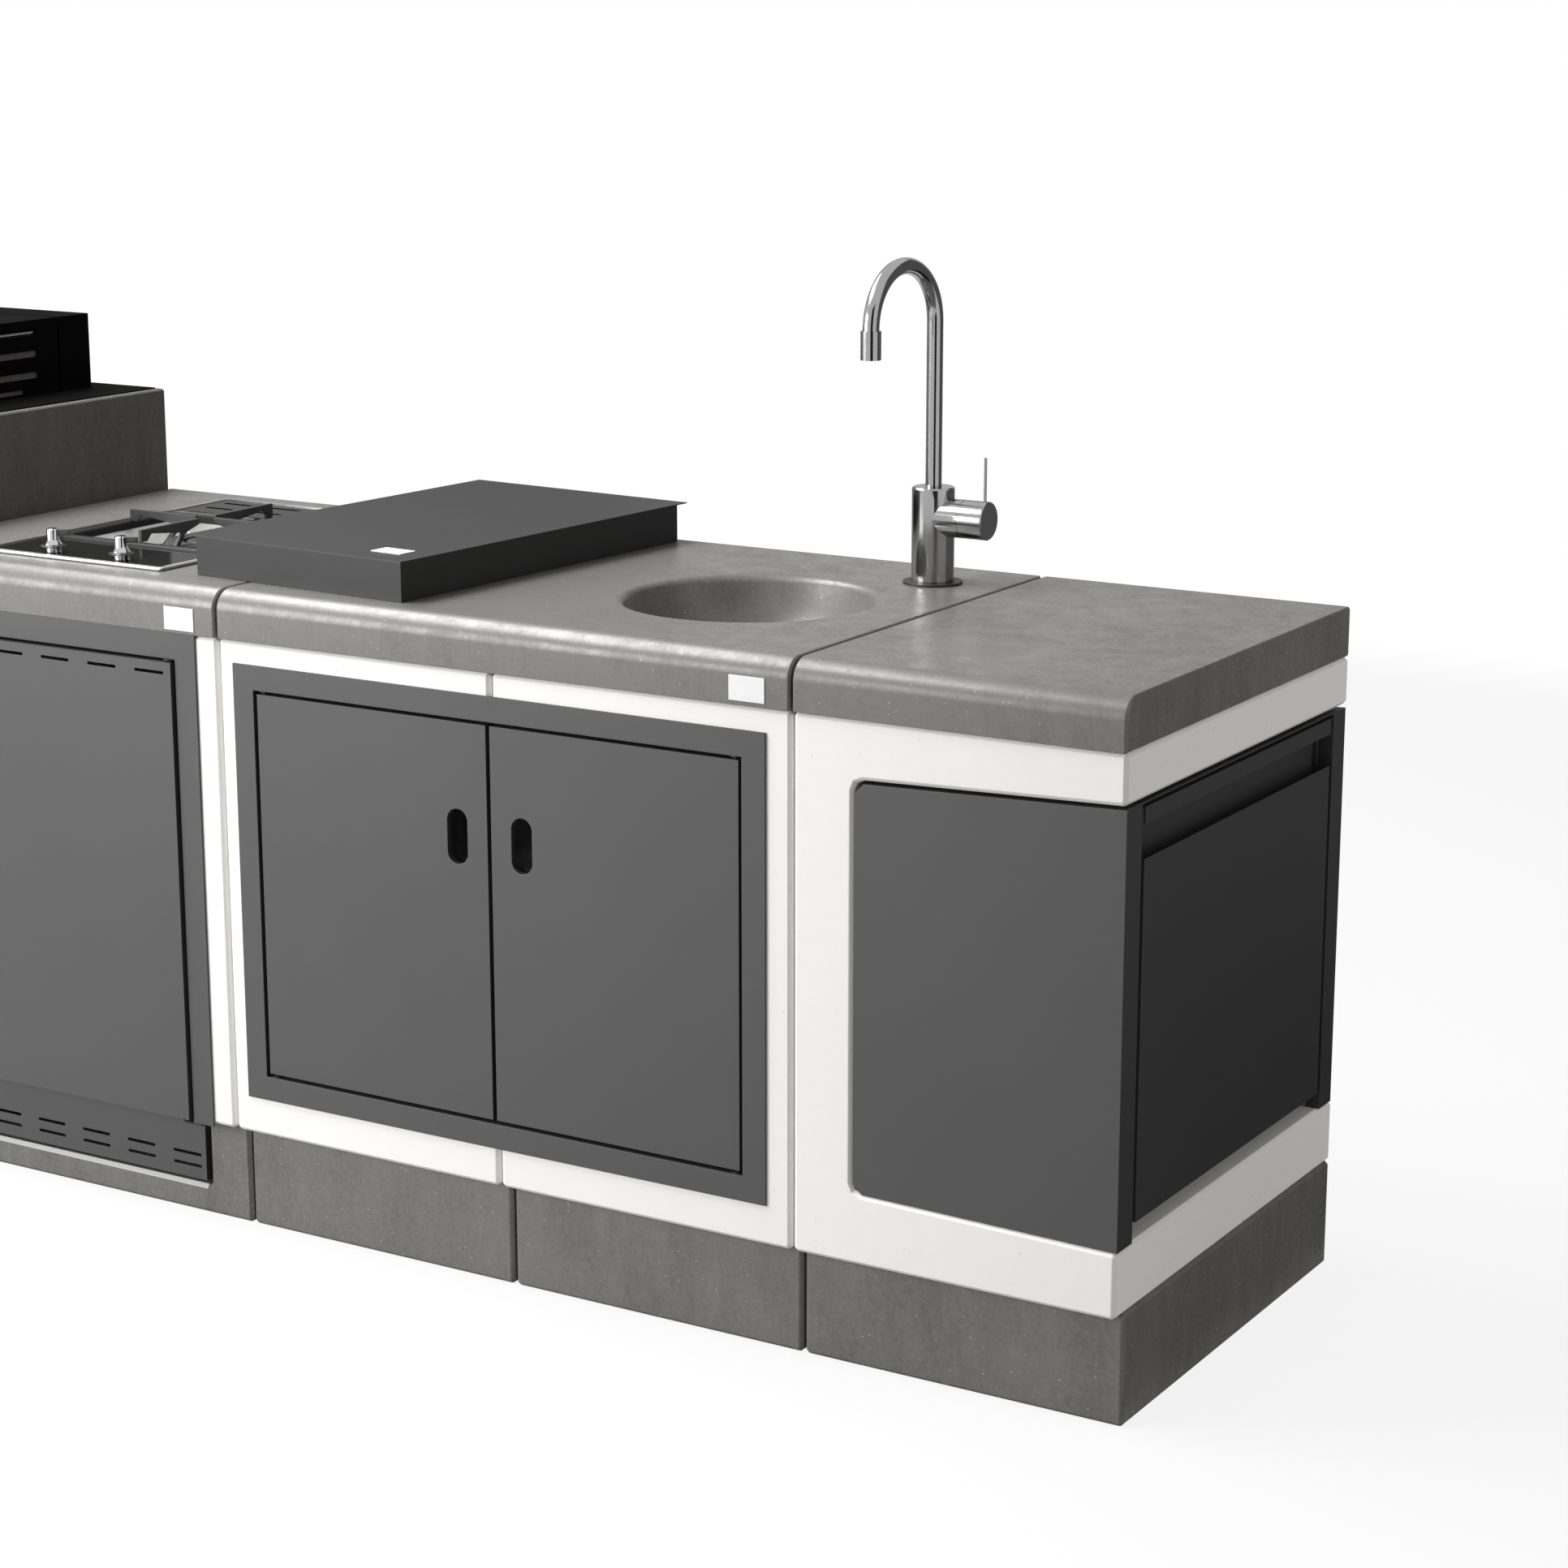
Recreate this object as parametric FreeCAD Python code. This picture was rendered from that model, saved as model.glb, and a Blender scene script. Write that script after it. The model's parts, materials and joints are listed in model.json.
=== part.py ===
import FreeCAD, Part
import math
import os

V = FreeCAD.Vector

# A row of precast concrete modules for cooking outdoors, seen from the front with +X to the right,
# +Y to the back and +Z up. While it is built, X is 0 at the seam left of the corner module, Y is 0
# at the front of the white frames and Z is 0 on the ground. Lengths are in millimetres.

# Row of modules
module_pitch = 450.0
vented_width = 660.0
row_depth = 667.0
seam_gap = 3.0
plinth_height = 148.0
frame_height = 694.0
worktop_thickness = 66.0
plinth_setback = 29.0
concrete_chamfer = 5.0
cut_overrun = 20.0
touch = 0.01

# White frames
corner_wall = 84.0
vented_wall = 60.0
sink_wall = 57.0
corner_top_root = 75.0
corner_top_tip = 63.0
corner_bottom_root = 93.0
corner_bottom_tip = 85.0
sink_top_arm = 58.0
sink_bottom_arm = 82.0
vented_floor = 60.0
vented_floor_setback = 30.0
boss_radius = 20.0
boss_margin_y = 80.0
boss_margin_z = 102.0
opening_corner = 8.0
cabinet_corner = 12.0
liner_top_gap = 12.0

# Worktops
worktop_overhang = 3.5
nose_radius = 28.0
worktop_chamfer = 3.0

# Sink bowl, drain and trap
sink_x = -257.0
sink_back_margin = 345.0
bowl_rim_radius = 170.0
bowl_depth = 140.0
bowl_round = 14.0
bowl_wall = 22.0
bowl_clearance = 3.0
drain_radius = 35.0
drain_seat_depth = 1.0
drain_fit = 0.5
drain_flange_height = 4.0
drain_pipe_radius = 20.0
drain_pipe_wall = 2.0
drain_pipe_length = 52.0
drain_hole_radius = 3.5
drain_hole_ring = 11.5
drain_hole_count = 6
drain_nut_radius = 31.0
drain_nut_height = 12.0
trap_radius = 30.0
trap_height = 92.0
trap_drop = 16.0
trap_outlet_radius = 16.0
trap_outlet_drop = 24.0
trap_nut_radius = 22.0
trap_nut_length = 12.0
trap_nut_gap = 4.0
liner_hole_radius = 24.0

# Tap
tap_x = -104.5
tap_back_margin = 123.5
tap_flange_radius = 40.5
tap_flange_height = 3.0
tap_body_radius = 29.0
tap_body_height = 128.0
tap_body_chamfer = 2.0
tap_pipe_radius = 11.0
tap_pipe_wall = 1.5
tap_socket_depth = 25.0
tap_running_fit = 0.05
spout_arch_radius = 78.0
spout_arch_height = 352.5
spout_turn = 3.5
aerator_radius = 13.6
aerator_height = 37.5
aerator_wall = 2.4
aerator_socket = 8.0
valve_height = 87.5
valve_radius = 26.0
valve_reach = 48.0
handle_gap = 0.5
handle_length = 36.5
handle_round = 1.5
spindle_radius = 6.0
spindle_length = 18.0
lever_radius = 2.0
lever_inset = 6.5
lever_sink = 10.0
lever_top_height = 175.0
shank_radius = 15.0
shank_clearance = 2.0
shank_nut_radius = 27.0
shank_nut_height = 10.0
shank_tail = 16.0

# Steel plate and doors under the sink
sheet = 1.5
sink_front_shift = 4.8
sink_plate_margins = 64.0
sink_plate_low_margin = 53.5
sink_plate_high_margin = 30.5
plate_thickness = 3.0
plate_border = 34.0
plate_fold = 18.0
door_gap = 5.0
door_middle_gap = 6.0
door_recess = 1.5
door_depth = 17.0
pivot_inset = 8.0
pivot_radius = 3.0
pivot_fit = 0.05
pivot_foot_radius = 7.5
pivot_foot_height = 2.0
pivot_engagement = 12.0
finger_slot_width = 32.0
finger_slot_height = 74.0
finger_slot_drop = 222.5
finger_slot_offset = 51.0
finger_collar = 10.0
liner_sheet = 1.2
liner_front = 20.0
liner_back_margin = 27.0
liner_side_gap = 2.0
shelf_drop = 258.0
shelf_lip = 31.0
shelf_back_margin = 107.0

# Vented modules: front plate, door, lower panel and back panel
vented_stile_outer = 38.0
vented_border = 36.0
vented_plate_drop = 3.0
vented_top_border = 37.0
vented_gap = 4.0
vented_door_proud = 5.0
vented_door_depth = 20.0
bracket_thickness = 3.0
bracket_width = 30.0
bracket_depth = 18.0
vent_count = 6
vent_length = 51.7
vent_height = 4.5
vent_pitch = 85.5
vent_drop = 15.0
apron_width = 496.0
apron_low = 48.0
apron_fold = 26.0
apron_flange = 30.0
apron_vent_levels = (84.0, 67.0)
notch_width = 519.0
notch_low = 41.5
notch_slope_drop = 5.8
notch_slope_run = 4.5
notch_round = 9.0
back_vent_rows = 5
back_vent_row_pitch = 22.0
back_vent_drop = 60.0
back_panel_inset = 25.0

# Hob set into the worktop of the left vented module
hob_centre_x = -1225.0
hob_front = 68.0
hob_width = 340.0
hob_back_margin = 55.0
hob_rim_height = 5.0
hob_rim_width = 9.0
hob_rim_round = 2.0
hob_top_height = 3.5
hob_lip = 14.0
hob_tray_depth = 56.0
hob_cutout_gap = 3.0
hob_sheet = 1.2
pan_front = 220.0
pan_back_margin = 215.0
pan_side_margin = 32.0
pan_depth = 34.0
pan_corner = 14.0
pan_border_gap = 0.5
pan_border_height = 2.5
pan_groove_inset = 9.5
pan_groove_width = 4.5
pan_groove_depth = 1.5
louvre_rows = 3
louvre_row_pitch = 45.0
louvre_margin = 183.0
louvre_columns = 3
louvre_column_pitch = 94.0
louvre_first_column = -1340.0
louvre_length = 54.0
louvre_width = 10.0
burner_x = -1221.0
burner_y = 360.0
burner_radius = 62.0
burner_height = 12.0
burner_inner_radius = 36.0
burner_cap_radius = 30.0
burner_cap_height = 7.0
burner_port_count = 24
burner_port_width = 2.0
burner_port_depth = 4.0
seat_float = 0.3
support_bar = 6.0
support_reach = 145.0
support_reach_back = 149.0
support_top_height = 23.5
support_tip_gap = 18.0
support_web = 8.0
support_foot = 14.0
support_leg_top = 46.0
support_leg_width = 10.0
support_ring_radius = 86.0
support_ring_width = 8.0
support_ring_height = 6.0
knob_x = (-1277.0, -1150.0)
knob_y = 96.0
knob_base_radius = 12.0
knob_base_height = 10.0
knob_ring_count = 3
knob_groove_depth = 1.0
knob_groove_width = 1.5
knob_skirt_radius = 19.0
knob_skirt_height = 3.0
knob_cone_height = 8.0
knob_stem_radius = 9.0
knob_stem_height = 13.5
knob_bore_radius = 3.0
knob_bore_depth = 24.0
valve_block_width = 24.0
valve_block_height = 24.0
valve_stem_fit = 0.05
gas_rail_radius = 6.0
gas_inlet_radius = 10.0
gas_union_radius = 12.5
gas_union_drop = 2.0
gas_inlet_length = 26.0
gas_inlet_bore = 5.0
gas_inlet_margin = 60.0
gas_hose_hole_radius = 30.0

# Loose cover of the hob, left askew on the worktop
cover_x = -995.4
cover_y = 75.8
cover_turn = -4.05
cover_width = 370.0
cover_depth = 602.0
cover_height = 54.0
cover_lip_side = 23.0
cover_lip_back = 24.0

# Steel cabinet and drawer in the corner module
cabinet_front = 2.0
cabinet_back_gap = 5.0
cabinet_side_gap = 3.0
cabinet_top_gap = 4.0
post_width = 42.0
back_post_width = 40.0
post_depth = 20.0
cabinet_sill_depth = 90.0
drawer_side_gap = 8.0
drawer_front_rise = 109.0
drawer_front_drop = 136.0
grip_rail_drop = 94.0
grip_rail_height = 21.0
grip_depth = 22.0
grip_floor_drop = 16.0
grip_sheet = 2.0
drawer_box_back_gap = 8.0
drawer_box_low_gap = 5.0
drawer_box_top_drop = 70.0
runner_length = 320.0
runner_back = 10.0
runner_thickness = 13.0
runner_height = 45.0
runner_sheet = 1.2
runner_play = 0.4
runner_step = 2.0
runner_lip = 9.0
runner_rise = 192.0

# Raised grill module at the left end
surround_height = 159.5
surround_round = 12.0
grill_margin = 103.0
grill_front = 57.0
grill_back_margin = 57.0
top_plate_margin = 10.0
top_plate_thickness = 2.0
firebox_margin = 34.0
firebox_back_margin = 193.0
firebox_depth = 150.0
firebox_sheet = 3.0
firebox_lip = 28.0
firebox_front_lip = 16.0
firebox_gap = 4.0
hood_height = 116.5
hood_sheet = 2.0
hood_lift = 0.5
hood_hinge_margin = 134.0
hood_hinge_drop = 8.0
hood_back_margin = 129.0
housing_front_margin = 124.0
hood_slot_height = 10.0
hood_slot_front = 102.0
hood_slot_back_margin = 174.0
hood_slot_drops = (18.5, 52.5, 85.5)
hood_foot_height = 10.0
hood_foot_back_margin = 207.0
hinge_ear = 5.0
hinge_ear_gap = 1.0
hinge_ear_height = 18.0
hinge_ear_top = 5.0
hinge_eye_radius = 5.5
hinge_pin_radius = 3.0
brick_thickness = 30.0
brick_top_height = 92.5
brick_gap = 3.0
brick_joint = 1.0
brick_front = 75.0
brick_back_margin = 167.0
grate_rod_radius = 4.0
grate_side_gap = 1.5
grate_bar_radius = 2.0
grate_bar_pitch = 17.0
grate_strip_width = 10.0
grate_strip_height = 2.5
handle_bar_radius = 7.0
handle_bar_drop = 20.0
handle_bar_stand = 32.0
handle_bar_margin = 60.0
handle_post_radius = 5.0

# Levels and places that follow
frame_top = plinth_height + frame_height
sink_plate_low = plinth_height + sink_plate_low_margin
sink_plate_height = frame_height - sink_plate_low_margin - sink_plate_high_margin
sink_front_x = -module_pitch - sink_front_shift
sink_plate_width = 2 * module_pitch - sink_plate_margins
finger_slot_level = frame_top - finger_slot_drop
shelf_level = frame_top - shelf_drop
vented_plate_low = plinth_height - vented_plate_drop
drawer_front_low = plinth_height + drawer_front_rise
drawer_front_top = frame_top - drawer_front_drop
grip_rail_low = frame_top - grip_rail_drop
grip_rail_top = grip_rail_low + grip_rail_height
runner_level = plinth_height + runner_rise
liner_back = row_depth - liner_back_margin
shelf_back = row_depth - shelf_back_margin
sink_y = row_depth - sink_back_margin
tap_y = row_depth - tap_back_margin
hob_depth = row_depth - hob_front - hob_back_margin
grill_back = row_depth - grill_back_margin
firebox_back = row_depth - firebox_back_margin
hood_hinge_y = row_depth - hood_hinge_margin
hood_back = row_depth - hood_back_margin
housing_front = row_depth - housing_front_margin
hood_slot_back = row_depth - hood_slot_back_margin
hood_foot_back = row_depth - hood_foot_back_margin
brick_back = row_depth - brick_back_margin
pan_back = row_depth - pan_back_margin
pan_border = pan_side_margin - hob_rim_width - pan_border_gap
louvre_first_row = row_depth - louvre_margin
boss_places_y = (boss_margin_y, row_depth - boss_margin_y)
boss_places_z = (plinth_height + boss_margin_z, frame_top - boss_margin_z)
worktop_top = frame_top + worktop_thickness
sink_left = -2 * module_pitch
hob_left = sink_left - vented_width
grill_left = hob_left - vented_width
half_seam = seam_gap / 2
sink_plate_x = sink_front_x - sink_plate_width / 2
sink_open_low = sink_plate_low + plate_border
sink_open_high = sink_plate_low + sink_plate_height - plate_border
sink_door_front = door_recess - plate_thickness
bowl_sphere = (bowl_rim_radius ** 2 + bowl_depth ** 2) / (2 * bowl_depth)
bowl_centre_z = worktop_top - bowl_depth + bowl_sphere
bowl_floor = worktop_top - bowl_depth
drain_seat = bowl_floor - drain_seat_depth
tap_base = worktop_top + tap_flange_height
valve_z = tap_base + valve_height
hob_left_edge = hob_centre_x - hob_width / 2
hob_top = worktop_top + hob_top_height
vented_open_high = frame_top - vented_top_border
vented_door_front = -plate_thickness - vented_door_proud
vented_door_low = vented_plate_low + vented_gap
vented_door_high = vented_open_high - vented_gap
surround_top = worktop_top + surround_height
plate_top = surround_top + top_plate_thickness
hood_top = plate_top + hood_height
grill_x0 = grill_left + grill_margin
grill_x1 = hob_left - grill_margin
hood_hinge_z = hood_top - hood_hinge_drop
cabinet_x0 = corner_wall + cabinet_side_gap
cabinet_x1 = module_pitch - half_seam
cabinet_back = row_depth - cabinet_back_gap
cavity_front = cabinet_front + post_width
cavity_back = cabinet_back - back_post_width
drawer_y0 = cavity_front + drawer_side_gap
drawer_y1 = cavity_back - drawer_side_gap
web_x = cabinet_x1 - grip_depth - 2 * grip_sheet


def block(x0, y0, z0, x1, y1, z1):
    """Rectangular block between two corners."""
    return Part.makeBox(x1 - x0, y1 - y0, z1 - z0, V(x0, y0, z0))


def disc(x, y, z0, z1, radius):
    """Upright cylinder."""
    return Part.makeCylinder(radius, z1 - z0, V(x, y, z0))


def tube(x, y, z0, z1, radius, bore):
    """Upright pipe."""
    return disc(x, y, z0, z1, radius).cut(disc(x, y, z0, z1, bore))


def extrude_y(points, y0, y1):
    """Outline in X and Z, drawn out along Y."""
    wire = Part.makePolygon([V(x, y0, z) for x, z in points + points[:1]])
    return Part.Face(wire).extrude(V(0, y1 - y0, 0))


def slot_y(x, z, length, height, y0, y1):
    """Cutter along Y for a level slot with round ends."""
    half = length / 2 - height / 2
    bar = block(x - half, y0, z - height / 2, x + half, y1, z + height / 2)
    ends = [Part.makeCylinder(height / 2, y1 - y0, V(x + side * half, y0, z), V(0, 1, 0)) for side in (-1, 1)]
    return bar.fuse(ends)


def slot_upright(x, z, width, height, y0, y1):
    """Cutter along Y for an upright slot with round ends."""
    half = height / 2 - width / 2
    bar = block(x - width / 2, y0, z - half, x + width / 2, y1, z + half)
    ends = [Part.makeCylinder(width / 2, y1 - y0, V(x, y0, z + side * half), V(0, 1, 0)) for side in (-1, 1)]
    return bar.fuse(ends)


def edges_at(shape, axis, value):
    """Edges that lie in the plane where the given axis has the given value."""
    found = []
    for edge in shape.Edges:
        box = edge.BoundBox
        low = getattr(box, axis + "Min")
        high = getattr(box, axis + "Max")
        if abs(low - value) < touch and abs(high - value) < touch:
            found.append(edge)
    return found


def spin(profile, x, y):
    """Round solid from an outline of (radius, height) points, turned about an upright axis."""
    wire = Part.makePolygon([V(x + r, y, z) for r, z in profile + profile[:1]])
    return Part.Face(wire).revolve(V(x, y, 0), V(0, 0, 1), 360)


def plinth(x0, x1):
    """Dark concrete base block, set back behind the white front."""
    body = block(x0 + half_seam, plinth_setback, 0, x1 - half_seam, row_depth, plinth_height)
    return body.makeChamfer(concrete_chamfer, body.Edges)


def notched_plinth(x0, x1):
    """Base block of a vented module, with the wide notch that the lower panel stands in."""
    body = plinth(x0, x1)
    middle = (x0 + x1) / 2
    low = notch_low
    notch = block(middle - notch_width / 2, -cut_overrun, low, middle + notch_width / 2,
                  row_depth + cut_overrun, plinth_height + cut_overrun)
    corners = [e for e in edges_at(notch, "Z", low) if e.BoundBox.YLength > row_depth]
    notch = notch.makeFillet(notch_round, corners)
    left = middle - notch_width / 2 + notch_round
    corner = [V(left, plinth_setback, low),
              V(left, plinth_setback + notch_slope_run, low),
              V(left, plinth_setback, low - notch_slope_drop)]
    slope = Part.Face(Part.makePolygon(corner + corner[:1])).extrude(V(notch_width - 2 * notch_round, 0, 0))
    return body.cut(notch).cut(slope)


def straight_c_frame(wall_x, tip_x):
    """White C-shaped concrete frame of the sink cabinet: a wall at wall_x and two arms that end at tip_x."""
    side = 1 if tip_x > wall_x else -1
    inner = wall_x + side * sink_wall
    outline = [
        (wall_x, plinth_height),
        (tip_x, plinth_height),
        (tip_x, plinth_height + sink_bottom_arm),
        (inner, plinth_height + sink_bottom_arm),
        (inner, frame_top - sink_top_arm),
        (tip_x, frame_top - sink_top_arm),
        (tip_x, frame_top),
        (wall_x, frame_top),
    ]
    body = extrude_y(outline, 0, row_depth)
    roots = edges_at(body, "X", inner)
    long_roots = [e.hashCode() for e in roots if e.BoundBox.YLength > row_depth / 2]
    return body.makeChamfer(concrete_chamfer, [e for e in body.Edges if e.hashCode() not in long_roots])


def seam_bosses(x):
    """Low bosses on the left side of a frame that space it from its neighbour at the seam."""
    return [Part.makeCylinder(boss_radius, seam_gap, V(x - half_seam, y, z), V(1, 0, 0))
            for y in boss_places_y for z in boss_places_z]


def frame_corner():
    """Frame at the right end, with drafted arms open to the right."""
    wall_x, tip_x = half_seam, module_pitch - half_seam
    inner = wall_x + corner_wall
    outline = [
        (wall_x, plinth_height),
        (tip_x, plinth_height),
        (tip_x, plinth_height + corner_bottom_tip),
        (inner + opening_corner, plinth_height + corner_bottom_root),
        (inner, plinth_height + corner_bottom_root + opening_corner),
        (inner, frame_top - corner_top_root - opening_corner),
        (inner + opening_corner, frame_top - corner_top_root),
        (tip_x, frame_top - corner_top_tip),
        (tip_x, frame_top),
        (wall_x, frame_top),
    ]
    body = extrude_y(outline, 0, row_depth)
    return body.makeChamfer(concrete_chamfer, body.Edges).fuse(seam_bosses(0))


def frame_sink_left():
    """Left half of the pair of frames round the sink cabinet."""
    body = straight_c_frame(sink_left + half_seam, -module_pitch - half_seam)
    return body.fuse(seam_bosses(sink_left))


def frame_sink_right():
    """Right half of the pair, with round holes for the bowl and the tap's shank."""
    body = straight_c_frame(-half_seam, -module_pitch + half_seam)
    outer = bowl_sphere + bowl_wall
    hole = math.sqrt(outer ** 2 - (bowl_centre_z - frame_top) ** 2) + bowl_clearance
    arm_low = frame_top - sink_top_arm - cut_overrun
    body = body.cut(disc(sink_x, sink_y, arm_low, frame_top + cut_overrun, hole))
    shank_hole = shank_radius + shank_clearance
    return body.cut(disc(tap_x, tap_y, arm_low, frame_top + cut_overrun, shank_hole))


def vented_frame(x0, x1):
    """White U-shaped frame of a vented module: two walls on a floor slab that is set back."""
    left = x0 + half_seam
    right = x1 - half_seam
    outline = [
        (left, plinth_height),
        (right, plinth_height),
        (right, frame_top),
        (right - vented_wall, frame_top),
        (right - vented_wall, plinth_height + vented_floor),
        (left + vented_wall, plinth_height + vented_floor),
        (left + vented_wall, frame_top),
        (left, frame_top),
    ]
    body = extrude_y(outline, 0, row_depth)
    body = body.makeChamfer(concrete_chamfer, body.Edges)
    return body.cut(block(left + vented_wall, -cut_overrun, 0, right - vented_wall, vented_floor_setback,
                          plinth_height + vented_floor))


def with_hose_hole(body):
    """Block of the hob module with the hole for the gas hose, straight under the gas inlet."""
    return body.cut(disc(hob_centre_x, gas_inlet_y(), -cut_overrun, gas_inlet_low(), gas_hose_hole_radius))


def slab(x0, x1):
    """Worktop slab with a round nose along its front edge."""
    left = x0 + half_seam
    right = x1 - half_seam
    body = block(left, -worktop_overhang, frame_top, right, row_depth, worktop_top)
    nose = [e for e in edges_at(body, "Y", -worktop_overhang) if e.BoundBox.ZMin > frame_top + touch]
    body = body.makeFillet(nose_radius, nose)
    ends = edges_at(body, "X", left) + edges_at(body, "X", right)
    return body.makeChamfer(worktop_chamfer, ends)


def worktop_corner():
    """Plain worktop of the corner module."""
    return slab(0, module_pitch)


def worktop_sink():
    """Sink worktop, one casting with its round bowl."""
    body = slab(sink_left, 0)
    shell = Part.makeSphere(bowl_sphere + bowl_wall, V(sink_x, sink_y, bowl_centre_z))
    reach = bowl_sphere + bowl_wall + cut_overrun
    below = block(sink_x - reach, sink_y - reach, bowl_centre_z - reach, sink_x + reach, sink_y + reach,
                  frame_top + bowl_wall)
    body = body.fuse(shell.common(below))
    body = body.cut(Part.makeSphere(bowl_sphere, V(sink_x, sink_y, bowl_centre_z)))
    rim = [e for e in edges_at(body, "Z", worktop_top)
           if abs(e.BoundBox.XLength - 2 * bowl_rim_radius) < bowl_clearance]
    body = body.makeFillet(bowl_round, rim)
    body = body.cut(disc(sink_x, sink_y, drain_seat, bowl_floor + cut_overrun, drain_radius + drain_fit))
    pipe_hole = drain_pipe_radius + drain_fit
    body = body.cut(disc(sink_x, sink_y, bowl_floor - 2 * bowl_wall, bowl_floor, pipe_hole))
    hole = shank_radius + shank_clearance
    return body.cut(disc(tap_x, tap_y, frame_top - cut_overrun, worktop_top + cut_overrun, hole))


def hob_cutout(grow):
    """Size of the hob's tray, grown on every side."""
    margin = hob_lip - grow
    return (hob_left_edge + margin, hob_front + margin, hob_left_edge + hob_width - margin,
            hob_front + hob_depth - margin)


def worktop_hob():
    """Worktop of the hob module, with the cut-out that the hob drops into."""
    x0, y0, x1, y1 = hob_cutout(hob_cutout_gap)
    body = slab(hob_left, sink_left)
    return body.cut(block(x0, y0, frame_top - cut_overrun, x1, y1, worktop_top + cut_overrun))


def sink_drain():
    """Metal drain in the bowl: flange with holes, pipe and the nut below the bowl."""
    top = drain_seat + drain_flange_height
    low = drain_seat - drain_pipe_length
    body = disc(sink_x, sink_y, drain_seat, top, drain_radius)
    body = body.fuse(disc(sink_x, sink_y, low, drain_seat, drain_pipe_radius))
    bore = disc(sink_x, sink_y, low, drain_seat, drain_pipe_radius - drain_pipe_wall)
    body = body.cut(bore)
    for index in range(drain_hole_count):
        angle = 2 * math.pi * index / drain_hole_count
        x = sink_x + drain_hole_ring * math.cos(angle)
        y = sink_y + drain_hole_ring * math.sin(angle)
        body = body.cut(disc(x, y, drain_seat, top, drain_hole_radius))
    under = bowl_floor - bowl_wall
    nut = tube(sink_x, sink_y, under - drain_nut_height, under, drain_nut_radius, drain_pipe_radius)
    return body.fuse(nut)


def drain_trap():
    """Bottle trap below the drain, with its outlet pipe to the back."""
    neck_top = drain_seat - drain_pipe_length
    bottle_top = neck_top - trap_drop
    bottle_low = bottle_top - trap_height
    outlet_z = bottle_top - trap_outlet_drop
    wall = drain_pipe_wall
    neck = disc(sink_x, sink_y, bottle_top - wall, neck_top, drain_pipe_radius)
    bottle = disc(sink_x, sink_y, bottle_low, bottle_top, trap_radius)
    length = row_depth - sink_y
    outlet = Part.makeCylinder(trap_outlet_radius, length, V(sink_x, sink_y, outlet_z), V(0, 1, 0))
    nut_end = liner_back - liner_sheet - trap_nut_gap
    nut = Part.makeCylinder(trap_nut_radius, trap_nut_length, V(sink_x, nut_end - trap_nut_length, outlet_z),
                            V(0, 1, 0))
    body = neck.fuse([bottle, outlet, nut])
    hollow = disc(sink_x, sink_y, bottle_low + wall, bottle_top - wall, trap_radius - wall)
    inlet = disc(sink_x, sink_y, bottle_low + trap_height / 2, neck_top, drain_pipe_radius - wall)
    drain = Part.makeCylinder(trap_outlet_radius - wall, length, V(sink_x, sink_y, outlet_z), V(0, 1, 0))
    return body.cut(hollow.fuse([inlet, drain]))


def tap_flange():
    """Dark base ring of the tap."""
    return tube(tap_x, tap_y, worktop_top, tap_base, tap_flange_radius, shank_radius)


def tap_body():
    """Upright tap body with the valve housing on its right side and the handle's spindle."""
    top = tap_base + tap_body_height
    body = disc(tap_x, tap_y, tap_base, top, tap_body_radius)
    body = body.makeChamfer(tap_body_chamfer, edges_at(body, "Z", top))
    body = body.fuse(Part.makeCylinder(valve_radius, valve_reach, V(tap_x, tap_y, valve_z), V(1, 0, 0)))
    spindle = Part.makeCylinder(spindle_radius, spindle_length, V(tap_x + valve_reach, tap_y, valve_z),
                                V(1, 0, 0))
    socket = disc(tap_x, tap_y, top - tap_socket_depth, top, tap_pipe_radius + tap_running_fit)
    return body.fuse(spindle).cut(socket)


def tap_shank():
    """Threaded shank through the worktop, with the washer and nut that clamp the tap."""
    arm_low = frame_top - sink_top_arm
    body = disc(tap_x, tap_y, arm_low - shank_nut_height - shank_tail, tap_base, shank_radius)
    nut = tube(tap_x, tap_y, arm_low - shank_nut_height, arm_low, shank_nut_radius, shank_radius)
    return body.fuse(nut)


def spout_direction():
    """Level direction in which the spout points."""
    angle = math.radians(spout_turn)
    return V(-math.sin(angle), -math.cos(angle), 0)


def tap_spout():
    """Bent spout pipe, which turns in the socket of the tap body."""
    foot = tap_base + tap_body_height - tap_socket_depth + seat_float
    top = worktop_top + spout_arch_height
    bore = tap_pipe_radius - tap_pipe_wall
    stem = tube(tap_x, tap_y, foot, top, tap_pipe_radius, bore)
    ring = Part.Face([Part.Wire(Part.makeCircle(tap_pipe_radius, V(tap_x, tap_y, top))),
                      Part.Wire(Part.makeCircle(bore, V(tap_x, tap_y, top)))])
    reach = spout_direction()
    centre = V(tap_x, tap_y, top) + reach * spout_arch_radius
    arch = ring.revolve(centre, reach.cross(V(0, 0, 1)), -180)
    outlet = V(tap_x, tap_y, top) + reach * (2 * spout_arch_radius)
    tail = tube(outlet.x, outlet.y, top - aerator_socket, top, tap_pipe_radius, bore)
    return stem.fuse([arch, tail])


def tap_aerator():
    """Outlet sleeve pushed over the end of the spout."""
    outlet = V(tap_x, tap_y, 0) + spout_direction() * (2 * spout_arch_radius)
    top = worktop_top + spout_arch_height
    low = top - aerator_height
    body = disc(outlet.x, outlet.y, low, top, aerator_radius)
    body = body.cut(disc(outlet.x, outlet.y, top - aerator_socket, top, tap_pipe_radius))
    return body.cut(disc(outlet.x, outlet.y, low, top, aerator_radius - 2 * aerator_wall))


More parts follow.
